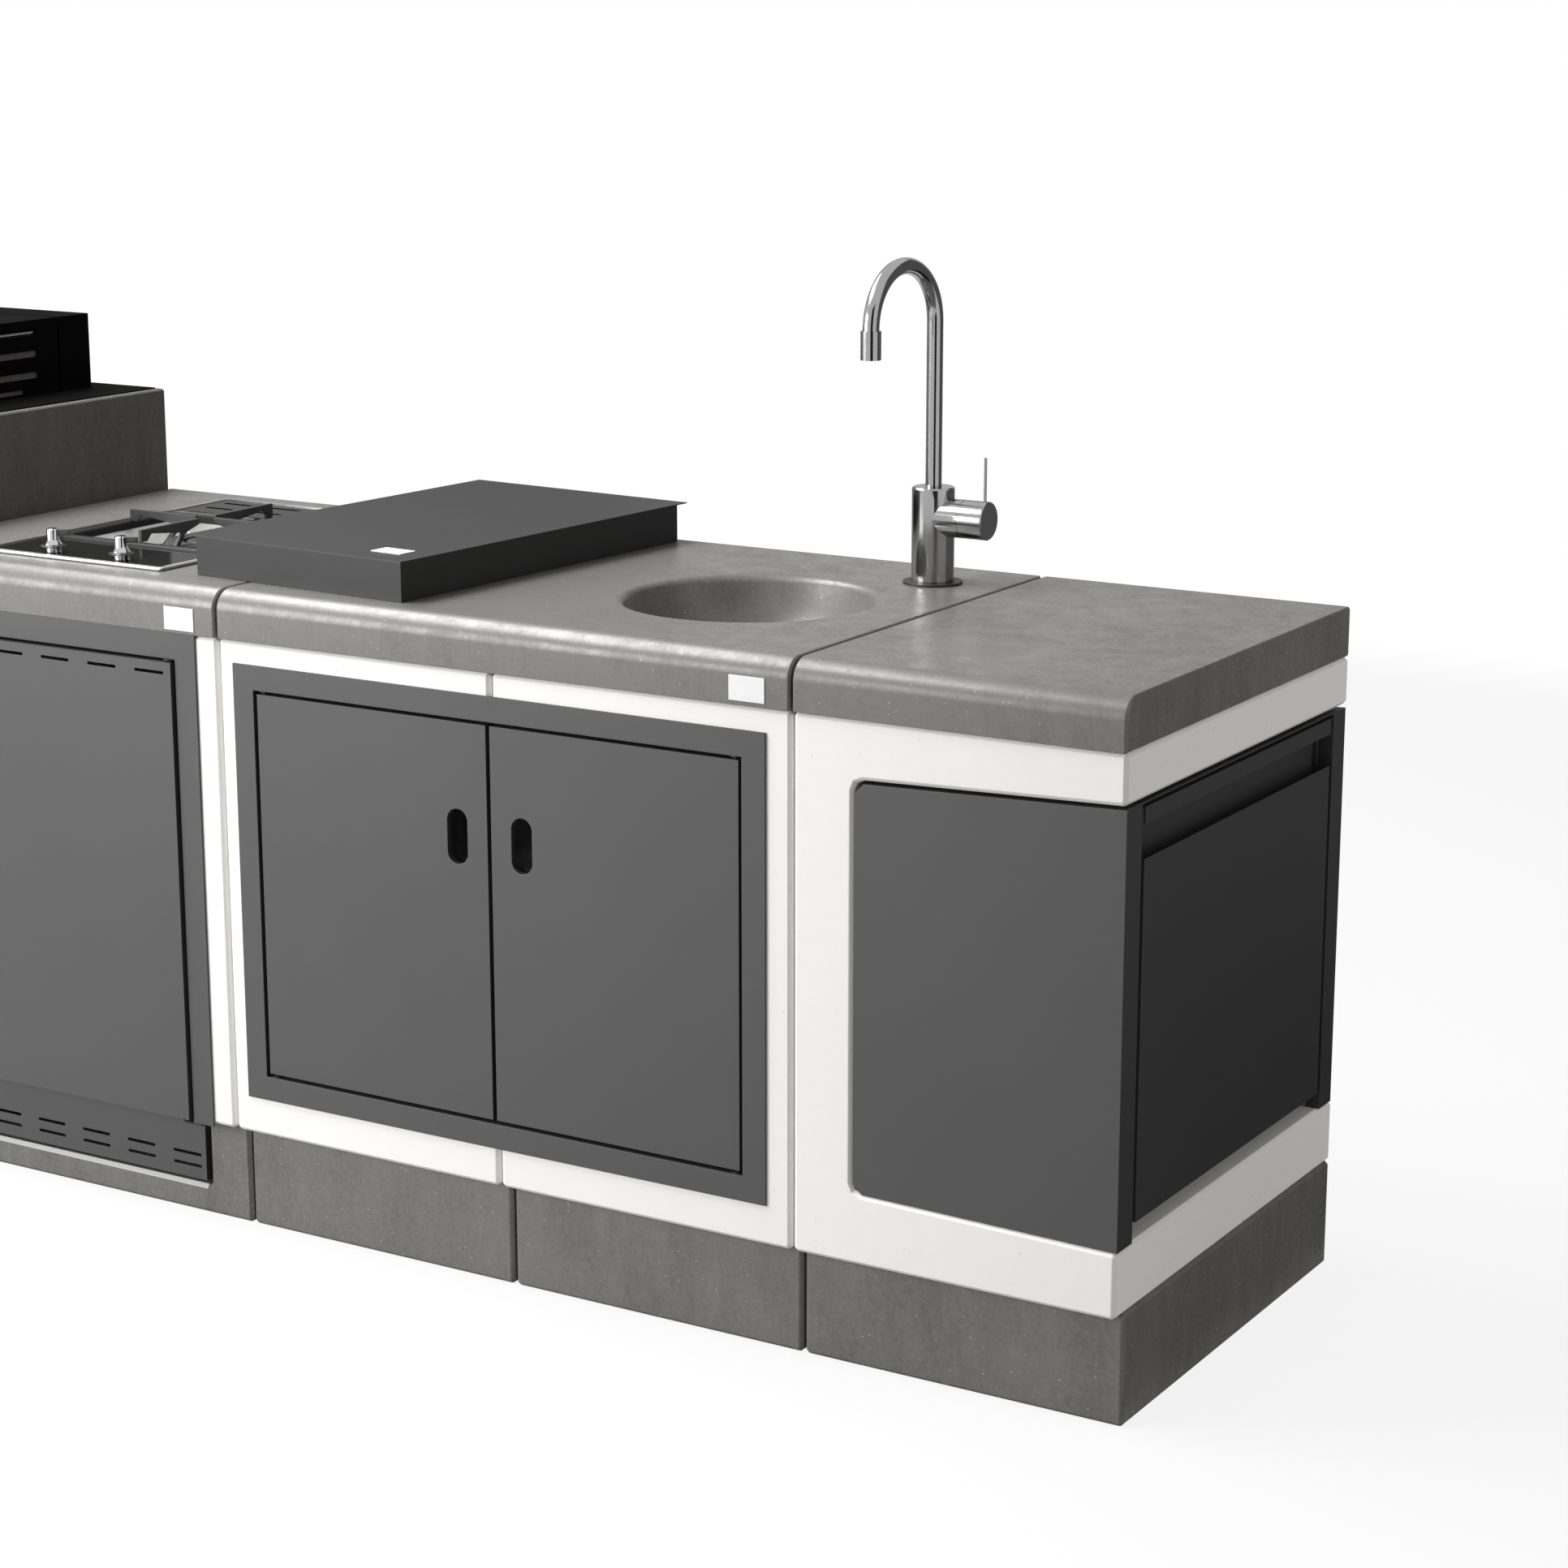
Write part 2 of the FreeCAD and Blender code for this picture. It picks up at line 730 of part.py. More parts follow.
def tap_handle():
    """Turning end of the valve: a round cap on the spindle, with its thin lever."""
    x0 = tap_x + valve_reach + handle_gap
    cap = Part.makeCylinder(valve_radius, handle_length, V(x0, tap_y, valve_z), V(1, 0, 0))
    cap = cap.makeChamfer(handle_round, edges_at(cap, "X", x0 + handle_length))
    bore = Part.makeCylinder(spindle_radius + tap_running_fit, spindle_length, V(x0, tap_y, valve_z),
                             V(1, 0, 0))
    return cap.cut(bore).cut(tap_lever())


def tap_lever():
    """Thin round lever screwed into the cap."""
    x = tap_x + valve_reach + handle_gap + handle_length - lever_inset
    return disc(x, tap_y, valve_z + valve_radius - lever_sink, worktop_top + lever_top_height, lever_radius)


def sink_front_plate():
    """Steel plate round the sink doors, with its edge folded back into the opening."""
    x0, x1 = sink_plate_x, sink_plate_x + sink_plate_width
    z0, z1 = sink_plate_low, sink_plate_low + sink_plate_height
    body = block(x0, -plate_thickness, z0, x1, 0, z1)
    left, right = x0 + plate_border, x1 - plate_border
    fold = block(left - sheet, -plate_thickness, sink_open_low - sheet, right + sheet, plate_fold,
                 sink_open_high + sheet)
    hole = block(left, -cut_overrun, sink_open_low, right, plate_fold + cut_overrun, sink_open_high)
    return body.fuse(fold).cut(hole)


def door_tray(x0, x1, z0, z1, front, depth):
    """Door leaf folded from sheet, open at the back."""
    body = block(x0, front, z0, x1, front + depth, z1)
    hollow = block(x0 + sheet, front + sheet, z0 + sheet, x1 - sheet, front + depth + cut_overrun, z1 - sheet)
    return body.cut(hollow)


def pivot_blocks(x, y, z0, z1):
    """Bearing blocks in the top and bottom of a door, and the bores that the pivot pins turn in."""
    half = pivot_inset
    blocks = [block(x - half, y - half, z0, x + half, y + half, z0 + pivot_engagement),
              block(x - half, y - half, z1 - pivot_engagement, x + half, y + half, z1)]
    bores = [disc(x, y, z0 - cut_overrun, z0 + pivot_engagement, pivot_radius + pivot_fit),
             disc(x, y, z1 - pivot_engagement, z1 + cut_overrun, pivot_radius + pivot_fit)]
    return blocks, bores


def finger_hole(body, x, front):
    """Cut a finger slot through a door and line it with a collar."""
    outer = slot_upright(x, finger_slot_level, finger_slot_width + 2 * sheet, finger_slot_height + 2 * sheet,
                         front, front + finger_collar)
    inner = slot_upright(x, finger_slot_level, finger_slot_width, finger_slot_height,
                         front - cut_overrun, front + finger_collar + cut_overrun)
    return body.fuse(outer).cut(inner)


def sink_door(side):
    """One sink door; side is -1 for the left leaf and 1 for the right one."""
    outer = sink_front_x + side * (sink_plate_width / 2 - plate_border - door_gap)
    inner = sink_front_x + side * door_middle_gap / 2
    x0, x1 = min(outer, inner), max(outer, inner)
    z0, z1 = sink_open_low + door_gap, sink_open_high - door_gap
    body = door_tray(x0, x1, z0, z1, sink_door_front, door_depth)
    x, y = sink_pivot(side)
    blocks, bores = pivot_blocks(x, y, z0, z1)
    body = body.fuse(blocks).cut(bores[0].fuse(bores[1]))
    return finger_hole(body, sink_front_x + side * finger_slot_offset, sink_door_front)


def sink_pivot(side):
    """Place of a sink door's upright pivot axis."""
    outer = sink_front_x + side * (sink_plate_width / 2 - plate_border - door_gap)
    return outer - side * pivot_inset, sink_door_front + pivot_inset


def vented_pivot(x1):
    """Place of a vented door's upright pivot axis, for the module that ends at x1."""
    return x1 - vented_stile_outer - vented_border - vented_gap - pivot_inset, vented_door_front + pivot_inset


def pivot_pair(x, y, low, high, gap):
    """Two pivot pins with their feet, under the top of an opening and over its bottom."""
    reach = gap + pivot_engagement
    lower = disc(x, y, low, low + reach, pivot_radius)
    lower = lower.fuse(disc(x, y, low, low + pivot_foot_height, pivot_foot_radius))
    upper = disc(x, y, high - reach, high, pivot_radius)
    upper = upper.fuse(disc(x, y, high - pivot_foot_height, high, pivot_foot_radius))
    return lower, upper


def door_hinges():
    """Pivot pins of all doors, and the brackets under the vented doors."""
    solids = []
    for side in (-1, 1):
        x, y = sink_pivot(side)
        solids += pivot_pair(x, y, sink_open_low, sink_open_high, door_gap)
    for x1 in (sink_left, hob_left):
        x, y = vented_pivot(x1)
        lower, upper = pivot_pair(x, y, vented_plate_low, vented_open_high, vented_gap)
        edge = x1 - vented_stile_outer - vented_border
        bracket = block(edge - bracket_width / 2, -plate_thickness, vented_plate_low - bracket_thickness,
                        edge + bracket_width / 2, -plate_thickness + bracket_depth, vented_plate_low)
        solids += [lower.fuse(bracket), upper]
    return Part.makeCompound(solids)


def sink_liner():
    """Steel cabinet behind the sink doors, open at the front and top."""
    x0 = sink_left + half_seam + sink_wall + liner_side_gap
    x1 = -half_seam - sink_wall - liner_side_gap
    z0 = plinth_height + sink_bottom_arm
    z1 = frame_top - sink_top_arm - liner_top_gap
    body = block(x0, liner_front, z0, x1, liner_back, z1)
    hollow = block(x0 + liner_sheet, liner_front - cut_overrun, z0 + liner_sheet, x1 - liner_sheet,
                   liner_back - liner_sheet, z1 + cut_overrun)
    outlet_z = drain_seat - drain_pipe_length - trap_drop - trap_outlet_drop
    hole = Part.makeCylinder(liner_hole_radius, 2 * cut_overrun,
                             V(sink_x, liner_back - cut_overrun, outlet_z), V(0, 1, 0))
    return body.cut(hollow).cut(hole)


def sink_shelf():
    """Folded shelf inside the sink cabinet, with a deep front lip."""
    inset = liner_side_gap + liner_sheet
    x0 = sink_left + half_seam + sink_wall + inset
    x1 = -half_seam - sink_wall - inset
    body = block(x0, liner_front, shelf_level - liner_sheet, x1, shelf_back, shelf_level)
    lip = block(x0, liner_front, shelf_level - shelf_lip, x1, liner_front + liner_sheet, shelf_level)
    ends = [block(x0, liner_front, shelf_level - shelf_lip, x0 + liner_sheet, shelf_back, shelf_level),
            block(x1 - liner_sheet, liner_front, shelf_level - shelf_lip, x1, shelf_back, shelf_level)]
    return body.fuse([lip] + ends)


def vented_front_plate(x0, x1):
    """Steel surround of a vented door: two stiles and a top band, folded back round the opening."""
    left, right = x0 + vented_stile_outer, x1 - vented_stile_outer
    body = block(left, -plate_thickness, vented_plate_low, right, 0, frame_top)
    inner_left, inner_right = left + vented_border, right - vented_border
    fold = block(inner_left - sheet, -plate_thickness, vented_plate_low, inner_right + sheet, plate_fold,
                 vented_open_high + sheet)
    hole = block(inner_left, -cut_overrun, vented_plate_low - cut_overrun, inner_right,
                 plate_fold + cut_overrun, vented_open_high)
    return body.fuse(fold).cut(hole)


def vent_places(middle):
    """Places along X of a row of vents."""
    return [middle + (index - (vent_count - 1) / 2) * vent_pitch for index in range(vent_count)]


def vented_door(x0, x1):
    """Tall door with a row of vents near its top, hinged at its right edge."""
    left = x0 + vented_stile_outer + vented_border + vented_gap
    right = x1 - vented_stile_outer - vented_border - vented_gap
    body = door_tray(left, right, vented_door_low, vented_door_high, vented_door_front, vented_door_depth)
    x, y = vented_pivot(x1)
    blocks, bores = pivot_blocks(x, y, vented_door_low, vented_door_high)
    body = body.fuse(blocks).cut(bores[0].fuse(bores[1]))
    for vent_x in vent_places((x0 + x1) / 2):
        body = body.cut(slot_y(vent_x, vented_door_high - vent_drop, vent_length, vent_height,
                               vented_door_front - cut_overrun, vented_door_front + 2 * sheet))
    return finger_hole(body, left + finger_slot_offset, vented_door_front)


def apron(x0, x1):
    """Lower panel with two rows of vents, standing in the notch of the base block."""
    middle = (x0 + x1) / 2
    left, right = middle - apron_width / 2, middle + apron_width / 2
    front = plinth_setback
    top = plinth_height
    body = block(left, front, apron_low, right, front + sheet, top)
    sides = [block(left, front, apron_low, left + sheet, front + apron_fold, top),
             block(right - sheet, front, apron_low, right, front + apron_fold, top)]
    flange = block(left, front, top - sheet, right, front + apron_flange, top)
    body = body.fuse(sides + [flange])
    for level in apron_vent_levels:
        for vent_x in vent_places(middle):
            body = body.cut(slot_y(vent_x, level, vent_length, vent_height, front - cut_overrun,
                                   front + 2 * sheet))
    return body


def back_panel(x0, x1):
    """Steel back of a vented module, with rows of vents near its top."""
    left = x0 + half_seam + vented_wall
    right = x1 - half_seam - vented_wall
    y0 = row_depth - back_panel_inset
    low = plinth_height + vented_floor + concrete_chamfer
    body = block(left, y0, low, right, y0 + sheet, frame_top)
    for row in range(back_vent_rows):
        level = frame_top - back_vent_drop - row * back_vent_row_pitch
        for vent_x in vent_places((x0 + x1) / 2):
            body = body.cut(slot_y(vent_x, level, vent_length, vent_height, y0 - cut_overrun,
                                   y0 + cut_overrun))
    return body


def pair_of(make):
    """The same piece in both vented modules."""
    return Part.makeCompound([make(hob_left, sink_left), make(grill_left, hob_left)])


def hob_rim():
    """Polished steel frame round the hob."""
    x1, y1 = hob_left_edge + hob_width, hob_front + hob_depth
    top = worktop_top + hob_rim_height
    body = block(hob_left_edge, hob_front, worktop_top, x1, y1, top)
    uprights = [e for e in body.Edges if e.BoundBox.ZLength > hob_rim_height / 2]
    body = body.makeFillet(hob_rim_width / 2, uprights)
    body = body.makeFillet(hob_rim_round, edges_at(body, "Z", top))
    return body.cut(block(hob_left_edge + hob_rim_width, hob_front + hob_rim_width, worktop_top,
                          x1 - hob_rim_width, y1 - hob_rim_width, top))


def pan_opening(z0, z1, grow):
    """Rounded rectangular block in the place of the burner pan."""
    x0 = hob_left_edge + pan_side_margin - grow
    x1 = hob_left_edge + hob_width - pan_side_margin + grow
    body = block(x0, pan_front - grow, z0, x1, pan_back + grow, z1)
    uprights = [e for e in body.Edges if e.BoundBox.ZLength > (z1 - z0) / 2]
    return body.makeFillet(pan_corner + grow, uprights)


def hob_top_sheet():
    """Dark top of the hob, with the hole for the pan, the knob holes and the louvres at the back."""
    x0, y0 = hob_left_edge + hob_rim_width, hob_front + hob_rim_width
    x1, y1 = hob_left_edge + hob_width - hob_rim_width, hob_front + hob_depth - hob_rim_width
    body = block(x0, y0, worktop_top, x1, y1, hob_top)
    body = body.cut(pan_opening(worktop_top - cut_overrun, hob_top + cut_overrun, 0))
    for x in knob_x:
        body = body.cut(disc(x, knob_y, worktop_top, hob_top, knob_bore_radius + hob_sheet))
    for row in range(louvre_rows):
        for column in range(louvre_columns):
            x = louvre_first_column + column * louvre_column_pitch
            y = louvre_first_row + row * louvre_row_pitch
            cutter = slot_y(x, 0, louvre_length, louvre_width, -cut_overrun, cut_overrun)
            cutter.rotate(V(x, 0, 0), V(1, 0, 0), 90)
            cutter.translate(V(0, y, hob_top))
            body = body.cut(cutter)
    return body


def burner_pan():
    """Polished pan sunk into the hob round the burner, with a raised border."""
    low = hob_top - pan_depth
    outer = pan_opening(low, hob_top, -touch)
    border = pan_opening(hob_top, hob_top + pan_border_height, pan_border)
    inner = pan_opening(low + hob_sheet, hob_top + cut_overrun, -hob_sheet - touch)
    body = outer.fuse(border).cut(inner)
    floor = hob_top + pan_border_height - pan_groove_depth
    groove = pan_opening(floor, hob_top + cut_overrun, pan_groove_inset + pan_groove_width)
    island = pan_opening(floor, hob_top + cut_overrun, pan_groove_inset)
    return body.cut(groove.cut(island))


def hob_tray():
    """Steel tray under the hob, hanging in the cut-out of the worktop."""
    x0, y0, x1, y1 = hob_cutout(0)
    low = worktop_top - hob_tray_depth
    body = block(x0, y0, low, x1, y1, worktop_top)
    hollow = block(x0 + hob_sheet, y0 + hob_sheet, low + hob_sheet, x1 - hob_sheet, y1 - hob_sheet,
                   worktop_top)
    hole = gas_union_radius + seat_float
    inlet = disc(hob_centre_x, gas_inlet_y(), low - cut_overrun, low + cut_overrun, hole)
    return body.cut(hollow).cut(inlet)


def gas_rail_z():
    """Level of the gas rail inside the tray."""
    return worktop_top - hob_tray_depth + hob_sheet + gas_inlet_radius


def gas_inlet_y():
    """Place of the gas inlet, towards the back of the tray."""
    return hob_front + hob_depth - gas_inlet_margin


def gas_inlet_low():
    """Lower end of the gas inlet, under the tray."""
    return worktop_top - hob_tray_depth - gas_inlet_length


def burner():
    """Ring burner with its flame ports, standing in the pan."""
    low = hob_top - pan_depth + hob_sheet
    top = low + burner_height
    body = tube(burner_x, burner_y, low, top, burner_radius, burner_inner_radius)
    body = body.fuse(disc(burner_x, burner_y, low, top, burner_cap_radius - burner_port_depth))
    for index in range(burner_port_count):
        port = block(burner_radius - burner_port_depth, -burner_port_width / 2, top - burner_port_depth,
                     burner_radius + burner_port_depth, burner_port_width / 2, top + burner_port_depth)
        port.rotate(V(0, 0, 0), V(0, 0, 1), 360 * index / burner_port_count)
        port.translate(V(burner_x, burner_y, 0))
        body = body.cut(port)
    return body


def burner_caps():
    """Lids of the outer and inner flame rings."""
    low = hob_top - pan_depth + hob_sheet + burner_height
    top = low + burner_cap_height
    outer = tube(burner_x, burner_y, low, top, burner_radius - burner_port_depth / 2, burner_inner_radius)
    inner = disc(burner_x, burner_y, low, top, burner_cap_radius)
    inner = inner.makeFillet(burner_cap_height / 2, edges_at(inner, "Z", top))
    return Part.makeCompound([outer, inner])


def support_arm(reach, foot_low):
    """One flat arm of the pan support along +X from its centre, with its foot and its slanted leg."""
    top = worktop_top + support_top_height
    ring_low = hob_top - pan_depth + hob_sheet
    outline = [
        (reach, foot_low),
        (reach, top),
        (support_tip_gap, top),
        (support_tip_gap, top - support_web),
        (support_leg_top, top - 2 * support_web),
        (support_ring_radius - support_ring_width, ring_low + support_ring_height / 2),
        (support_ring_radius, ring_low + support_ring_height / 2),
        (support_leg_top + support_leg_width, top - 2 * support_web),
        (reach - support_foot - support_web, top - support_web),
        (reach - support_foot, top - 2 * support_web),
        (reach - support_foot, foot_low),
    ]
    return extrude_y(outline, -support_bar / 2, support_bar / 2)


def pan_support():
    """Cast pan support: four arms that carry the pan, joined by a ring round the burner."""
    low = hob_top - pan_depth + hob_sheet
    body = tube(0, 0, low, low + support_ring_height, support_ring_radius,
                support_ring_radius - support_ring_width)
    for turn in (0, 180, 270):
        arm = support_arm(support_reach, hob_top + pan_border_height)
        arm.rotate(V(0, 0, 0), V(0, 0, 1), turn)
        body = body.fuse(arm)
    back = support_arm(support_reach_back, hob_top)
    back.rotate(V(0, 0, 0), V(0, 0, 1), 90)
    body = body.fuse(back)
    body.translate(V(burner_x, burner_y, seat_float))
    return body


def knob(x):
    """Chrome knob: ringed base, wide skirt, cone and round stem, bored for the valve's stem."""
    low = hob_top + seat_float
    mid = low + knob_base_height
    groove = knob_base_radius - knob_groove_depth
    profile = [(0, low)]
    level = low
    step = knob_base_height / knob_ring_count
    for _ in range(knob_ring_count):
        profile += [(knob_base_radius, level), (knob_base_radius, level + step - knob_groove_width),
                    (groove, level + step - knob_groove_width), (groove, level + step)]
        level += step
    cone_top = mid + knob_skirt_height + knob_cone_height
    profile += [(knob_skirt_radius, mid), (knob_skirt_radius, mid + knob_skirt_height / 2),
                (knob_stem_radius, cone_top), (knob_stem_radius, cone_top + knob_stem_height),
                (0, cone_top + knob_stem_height)]
    body = spin(profile, x, knob_y)
    bore = disc(x, knob_y, low, low + knob_bore_depth, knob_bore_radius + valve_stem_fit)
    return body.cut(bore)


def gas_valves():
    """Two valves with their stems under the knobs, and the gas rail with its inlet at the back."""
    z = gas_rail_z()
    low = z - gas_rail_radius
    half = valve_block_width / 2
    top = low + valve_block_height
    stem_top = hob_top + knob_bore_depth
    solids = []
    for x in knob_x:
        solids.append(block(x - half, knob_y - half, low, x + half, knob_y + half, top))
        solids.append(disc(x, knob_y, top, stem_top, knob_bore_radius))
    cross = Part.makeCylinder(gas_rail_radius, knob_x[1] - knob_x[0], V(knob_x[0], knob_y, z), V(1, 0, 0))
    main = Part.makeCylinder(gas_rail_radius, gas_inlet_y() - knob_y, V(hob_centre_x, knob_y, z), V(0, 1, 0))
    inlet = disc(hob_centre_x, gas_inlet_y(), gas_inlet_low(), z + gas_rail_radius, gas_inlet_radius)
    union_low = worktop_top - hob_tray_depth - gas_union_drop
    union = disc(hob_centre_x, gas_inlet_y(), union_low, z + gas_rail_radius, gas_union_radius)
    body = solids[0].fuse(solids[1:] + [cross, main, inlet, union])
    return body.cut(disc(hob_centre_x, gas_inlet_y(), gas_inlet_low(), z, gas_inlet_bore))


def hob_cover():
    """Loose steel cover of the hob, with a lip along its left and back edges."""
    body = block(0, 0, 0, cover_width, cover_depth, cover_height)
    hollow = block(sheet, sheet, -cut_overrun, cover_width - sheet, cover_depth - sheet, cover_height - sheet)
    lip = block(-cover_lip_side, 0, cover_height - sheet, cover_width, cover_depth + cover_lip_back,
                cover_height)
    body = body.cut(hollow).fuse(lip)
    body.rotate(V(0, 0, 0), V(0, 0, 1), cover_turn)
    body.translate(V(cover_x, cover_y, worktop_top + seat_float))
    return body


def arm_level(x, root, tip):
    """Thickness at x of a drafted arm of the corner frame."""
    start = half_seam + corner_wall + opening_corner
    end = module_pitch - half_seam
    return root + (tip - root) * (x - start) / (end - start)


def cabinet_outline(inset, x0, x1):
    """Outline in X and Z of the corner cabinet, following the drafted arms of the frame."""
    cut = cabinet_corner
    low0 = plinth_height + arm_level(x0 + cut, corner_bottom_root, corner_bottom_tip) + inset
    low1 = plinth_height + arm_level(x1, corner_bottom_root, corner_bottom_tip) + inset
    high0 = frame_top - arm_level(x0 + cut, corner_top_root, corner_top_tip) - cabinet_top_gap - inset
    high1 = frame_top - arm_level(x1, corner_top_root, corner_top_tip) - cabinet_top_gap - inset
    return [(x0, low0 + cut), (x0 + cut, low0), (x1, low1), (x1, high1), (x0 + cut, high0), (x0, high0 - cut)]


def corner_cabinet():
    """Steel cabinet in the corner frame, open at its right end between two posts, over a bare concrete sill."""
    outer = extrude_y(cabinet_outline(0, cabinet_x0, cabinet_x1), cabinet_front, cabinet_back)
    hollow = extrude_y(cabinet_outline(sheet, cabinet_x0 + sheet, cabinet_x1 + cut_overrun),
                       cabinet_front + sheet, cabinet_back - sheet)
    sill = block(cabinet_x1 - cabinet_sill_depth, cavity_front, 0, cabinet_x1 + cut_overrun, cavity_back,
                 drawer_front_low)
    shell = outer.cut(hollow).cut(sill)
    x_post = cabinet_x1 - post_depth
    posts = [block(x_post, cabinet_front, 0, cabinet_x1, cavity_front, worktop_top),
             block(x_post, cavity_back, 0, cabinet_x1, cabinet_back, worktop_top)]
    return shell.fuse([piece.common(outer) for piece in posts])


def cabinet_walls():
    """Two upright sheets in the cabinet that carry the runners."""
    outline = cabinet_outline(sheet, cabinet_x0 + sheet, cabinet_x1 - post_depth)
    return Part.makeCompound([extrude_y(outline, cavity_front - sheet, cavity_front),
                              extrude_y(outline, cavity_back, cavity_back + sheet)])


def drawer_front():
    """Lower part of the drawer's front, folded back at its sides and bottom."""
    x1 = cabinet_x1
    body = block(web_x, drawer_y0, drawer_front_low, x1, drawer_y1, drawer_front_top)
    hollow = block(web_x - cut_overrun, drawer_y0 + grip_sheet, drawer_front_low + grip_sheet,
                   x1 - grip_sheet, drawer_y1 - grip_sheet, drawer_front_top + cut_overrun)
    return body.cut(hollow)


def drawer_grip():
    """Folded grip channel above the drawer's front, open at both ends."""
    x1 = cabinet_x1
    floor = drawer_front_top - grip_floor_drop
    inner = x1 - grip_sheet
    side = grip_sheet + touch
    web = block(web_x, drawer_y0 + side, floor, web_x + grip_sheet, drawer_y1 - side, grip_rail_top)
    ledge = block(web_x, drawer_y0 + side, floor, inner, drawer_y1 - side, floor + grip_sheet)
    roof = block(web_x, drawer_y0, grip_rail_top - grip_sheet, x1, drawer_y1, grip_rail_top)
    rail = block(inner, drawer_y0, grip_rail_low, x1, drawer_y1, grip_rail_top)
    return web.fuse([ledge, roof, rail])


def drawer_box():
    """Open steel box of the drawer."""
    x0 = cabinet_x0 + drawer_box_back_gap
    y0, y1 = cavity_front + runner_thickness, cavity_back - runner_thickness
    z0, z1 = drawer_front_low + drawer_box_low_gap, drawer_front_top - drawer_box_top_drop
    body = block(x0, y0, z0, web_x, y1, z1)
    front = block(web_x - sheet, y0, z0, web_x, y1, drawer_front_top)
    hollow = block(x0 + sheet, y0 + sheet, z0 + sheet, web_x - sheet, y1 - sheet, z1 + cut_overrun)
    return body.cut(hollow).fuse(front)


def channel(y_web, y_lip, half_height):
    """Runner channel along X: an upright web and two level lips."""
    x0 = cabinet_x0 + runner_back
    x1 = x0 + runner_length
    turn = 1 if y_lip > y_web else -1
    y_inner = y_web + turn * runner_sheet
    body = block(x0, min(y_web, y_lip), runner_level - half_height, x1, max(y_web, y_lip),
                 runner_level + half_height)
    hollow = block(x0 - cut_overrun, min(y_inner, y_lip + turn * cut_overrun),
                   runner_level - half_height + runner_sheet, x1 + cut_overrun,
                   max(y_inner, y_lip + turn * cut_overrun), runner_level + half_height - runner_sheet)
    return body.cut(hollow)


def runner_member(stage):
    """One member of both runners; stage 0 is fixed, 1 is the middle one and 2 is on the drawer."""
    half = runner_height / 2 - stage * (runner_sheet + runner_play)
    solids = []
    for wall, turn in ((cavity_front, 1), (cavity_back, -1)):
        if stage == 2:
            web = wall + turn * runner_thickness
            solids.append(channel(web, web - turn * runner_lip, half))
        else:
            web = wall + turn * stage * runner_step
            solids.append(channel(web, web + turn * runner_lip, half))
    return Part.makeCompound(solids)


def surround():
    """Raised concrete block of the grill module, open in the middle for the firebox."""
    x0, x1 = grill_left + half_seam, hob_left - half_seam
    body = block(x0, -worktop_overhang, frame_top, x1, row_depth, surround_top)
    nose = [e for e in edges_at(body, "Y", -worktop_overhang) if e.BoundBox.ZMin > frame_top + touch]
    body = body.makeFillet(surround_round, nose)
    top_edges = [e for e in edges_at(body, "Z", surround_top) if e.BoundBox.YMin > surround_round / 2
                 or e.BoundBox.YLength > surround_round]
    body = body.makeChamfer(worktop_chamfer, top_edges)
    fx0, fy0, fx1, fy1 = firebox_plan()
    gap = firebox_gap
    return body.cut(block(fx0 - gap, fy0 - gap, frame_top - cut_overrun, fx1 + gap, fy1 + gap,
                          surround_top + cut_overrun))


def firebox_plan():
    """Outside of the firebox seen from above."""
    return (grill_x0 + firebox_margin, grill_front + firebox_margin, grill_x1 - firebox_margin, firebox_back)


def grill_top_plate():
    """Black steel sheet over the raised block."""
    margin = half_seam + top_plate_margin
    body = block(grill_left + margin, surround_round + top_plate_margin, surround_top, hob_left - margin,
                 row_depth - top_plate_margin, plate_top)
    fx0, fy0, fx1, fy1 = firebox_plan()
    return body.cut(block(fx0 - firebox_gap, fy0 - firebox_gap, surround_top - cut_overrun, fx1 + firebox_gap,
                          fy1 + firebox_gap, plate_top + cut_overrun))


def firebox():
    """Steel firebox for charcoal, hanging by its lip in the raised block."""
    x0, y0, x1, y1 = firebox_plan()
    wall = firebox_sheet
    body = block(x0, y0, plate_top - firebox_depth, x1, y1, plate_top + wall)
    lip = block(x0 - firebox_lip, y0 - firebox_front_lip, plate_top, x1 + firebox_lip, y1 + firebox_lip,
                plate_top + wall)
    hollow = block(x0 + wall, y0 + wall, plate_top - firebox_depth + wall, x1 - wall, y1 - wall,
                   plate_top + 2 * wall)
    return body.fuse(lip).cut(hollow)


def firebricks():
    """Ring of pale firebricks that stands on the firebox's lip, inside the hood."""
    x0, x1 = grill_x0 + hood_sheet + brick_gap, grill_x1 - hood_sheet - brick_gap
    low = plate_top + firebox_sheet
    top = low + brick_top_height - firebox_sheet
    joint = brick_joint
    t = brick_thickness
    middle = (x0 + x1) / 2
    solids = []
    for left, right in ((x0, x0 + t), (x1 - t, x1)):
        half = (brick_front + brick_back) / 2
        solids.append(block(left, brick_front, low, right, half - joint / 2, top))
        solids.append(block(left, half + joint / 2, low, right, brick_back, top))
    for y0 in (brick_front, brick_back - t):
        solids.append(block(x0 + t + joint, y0, low, middle - joint / 2, y0 + t, top))
        solids.append(block(middle + joint / 2, y0, low, x1 - t - joint, y0 + t, top))
    return Part.makeCompound(solids)


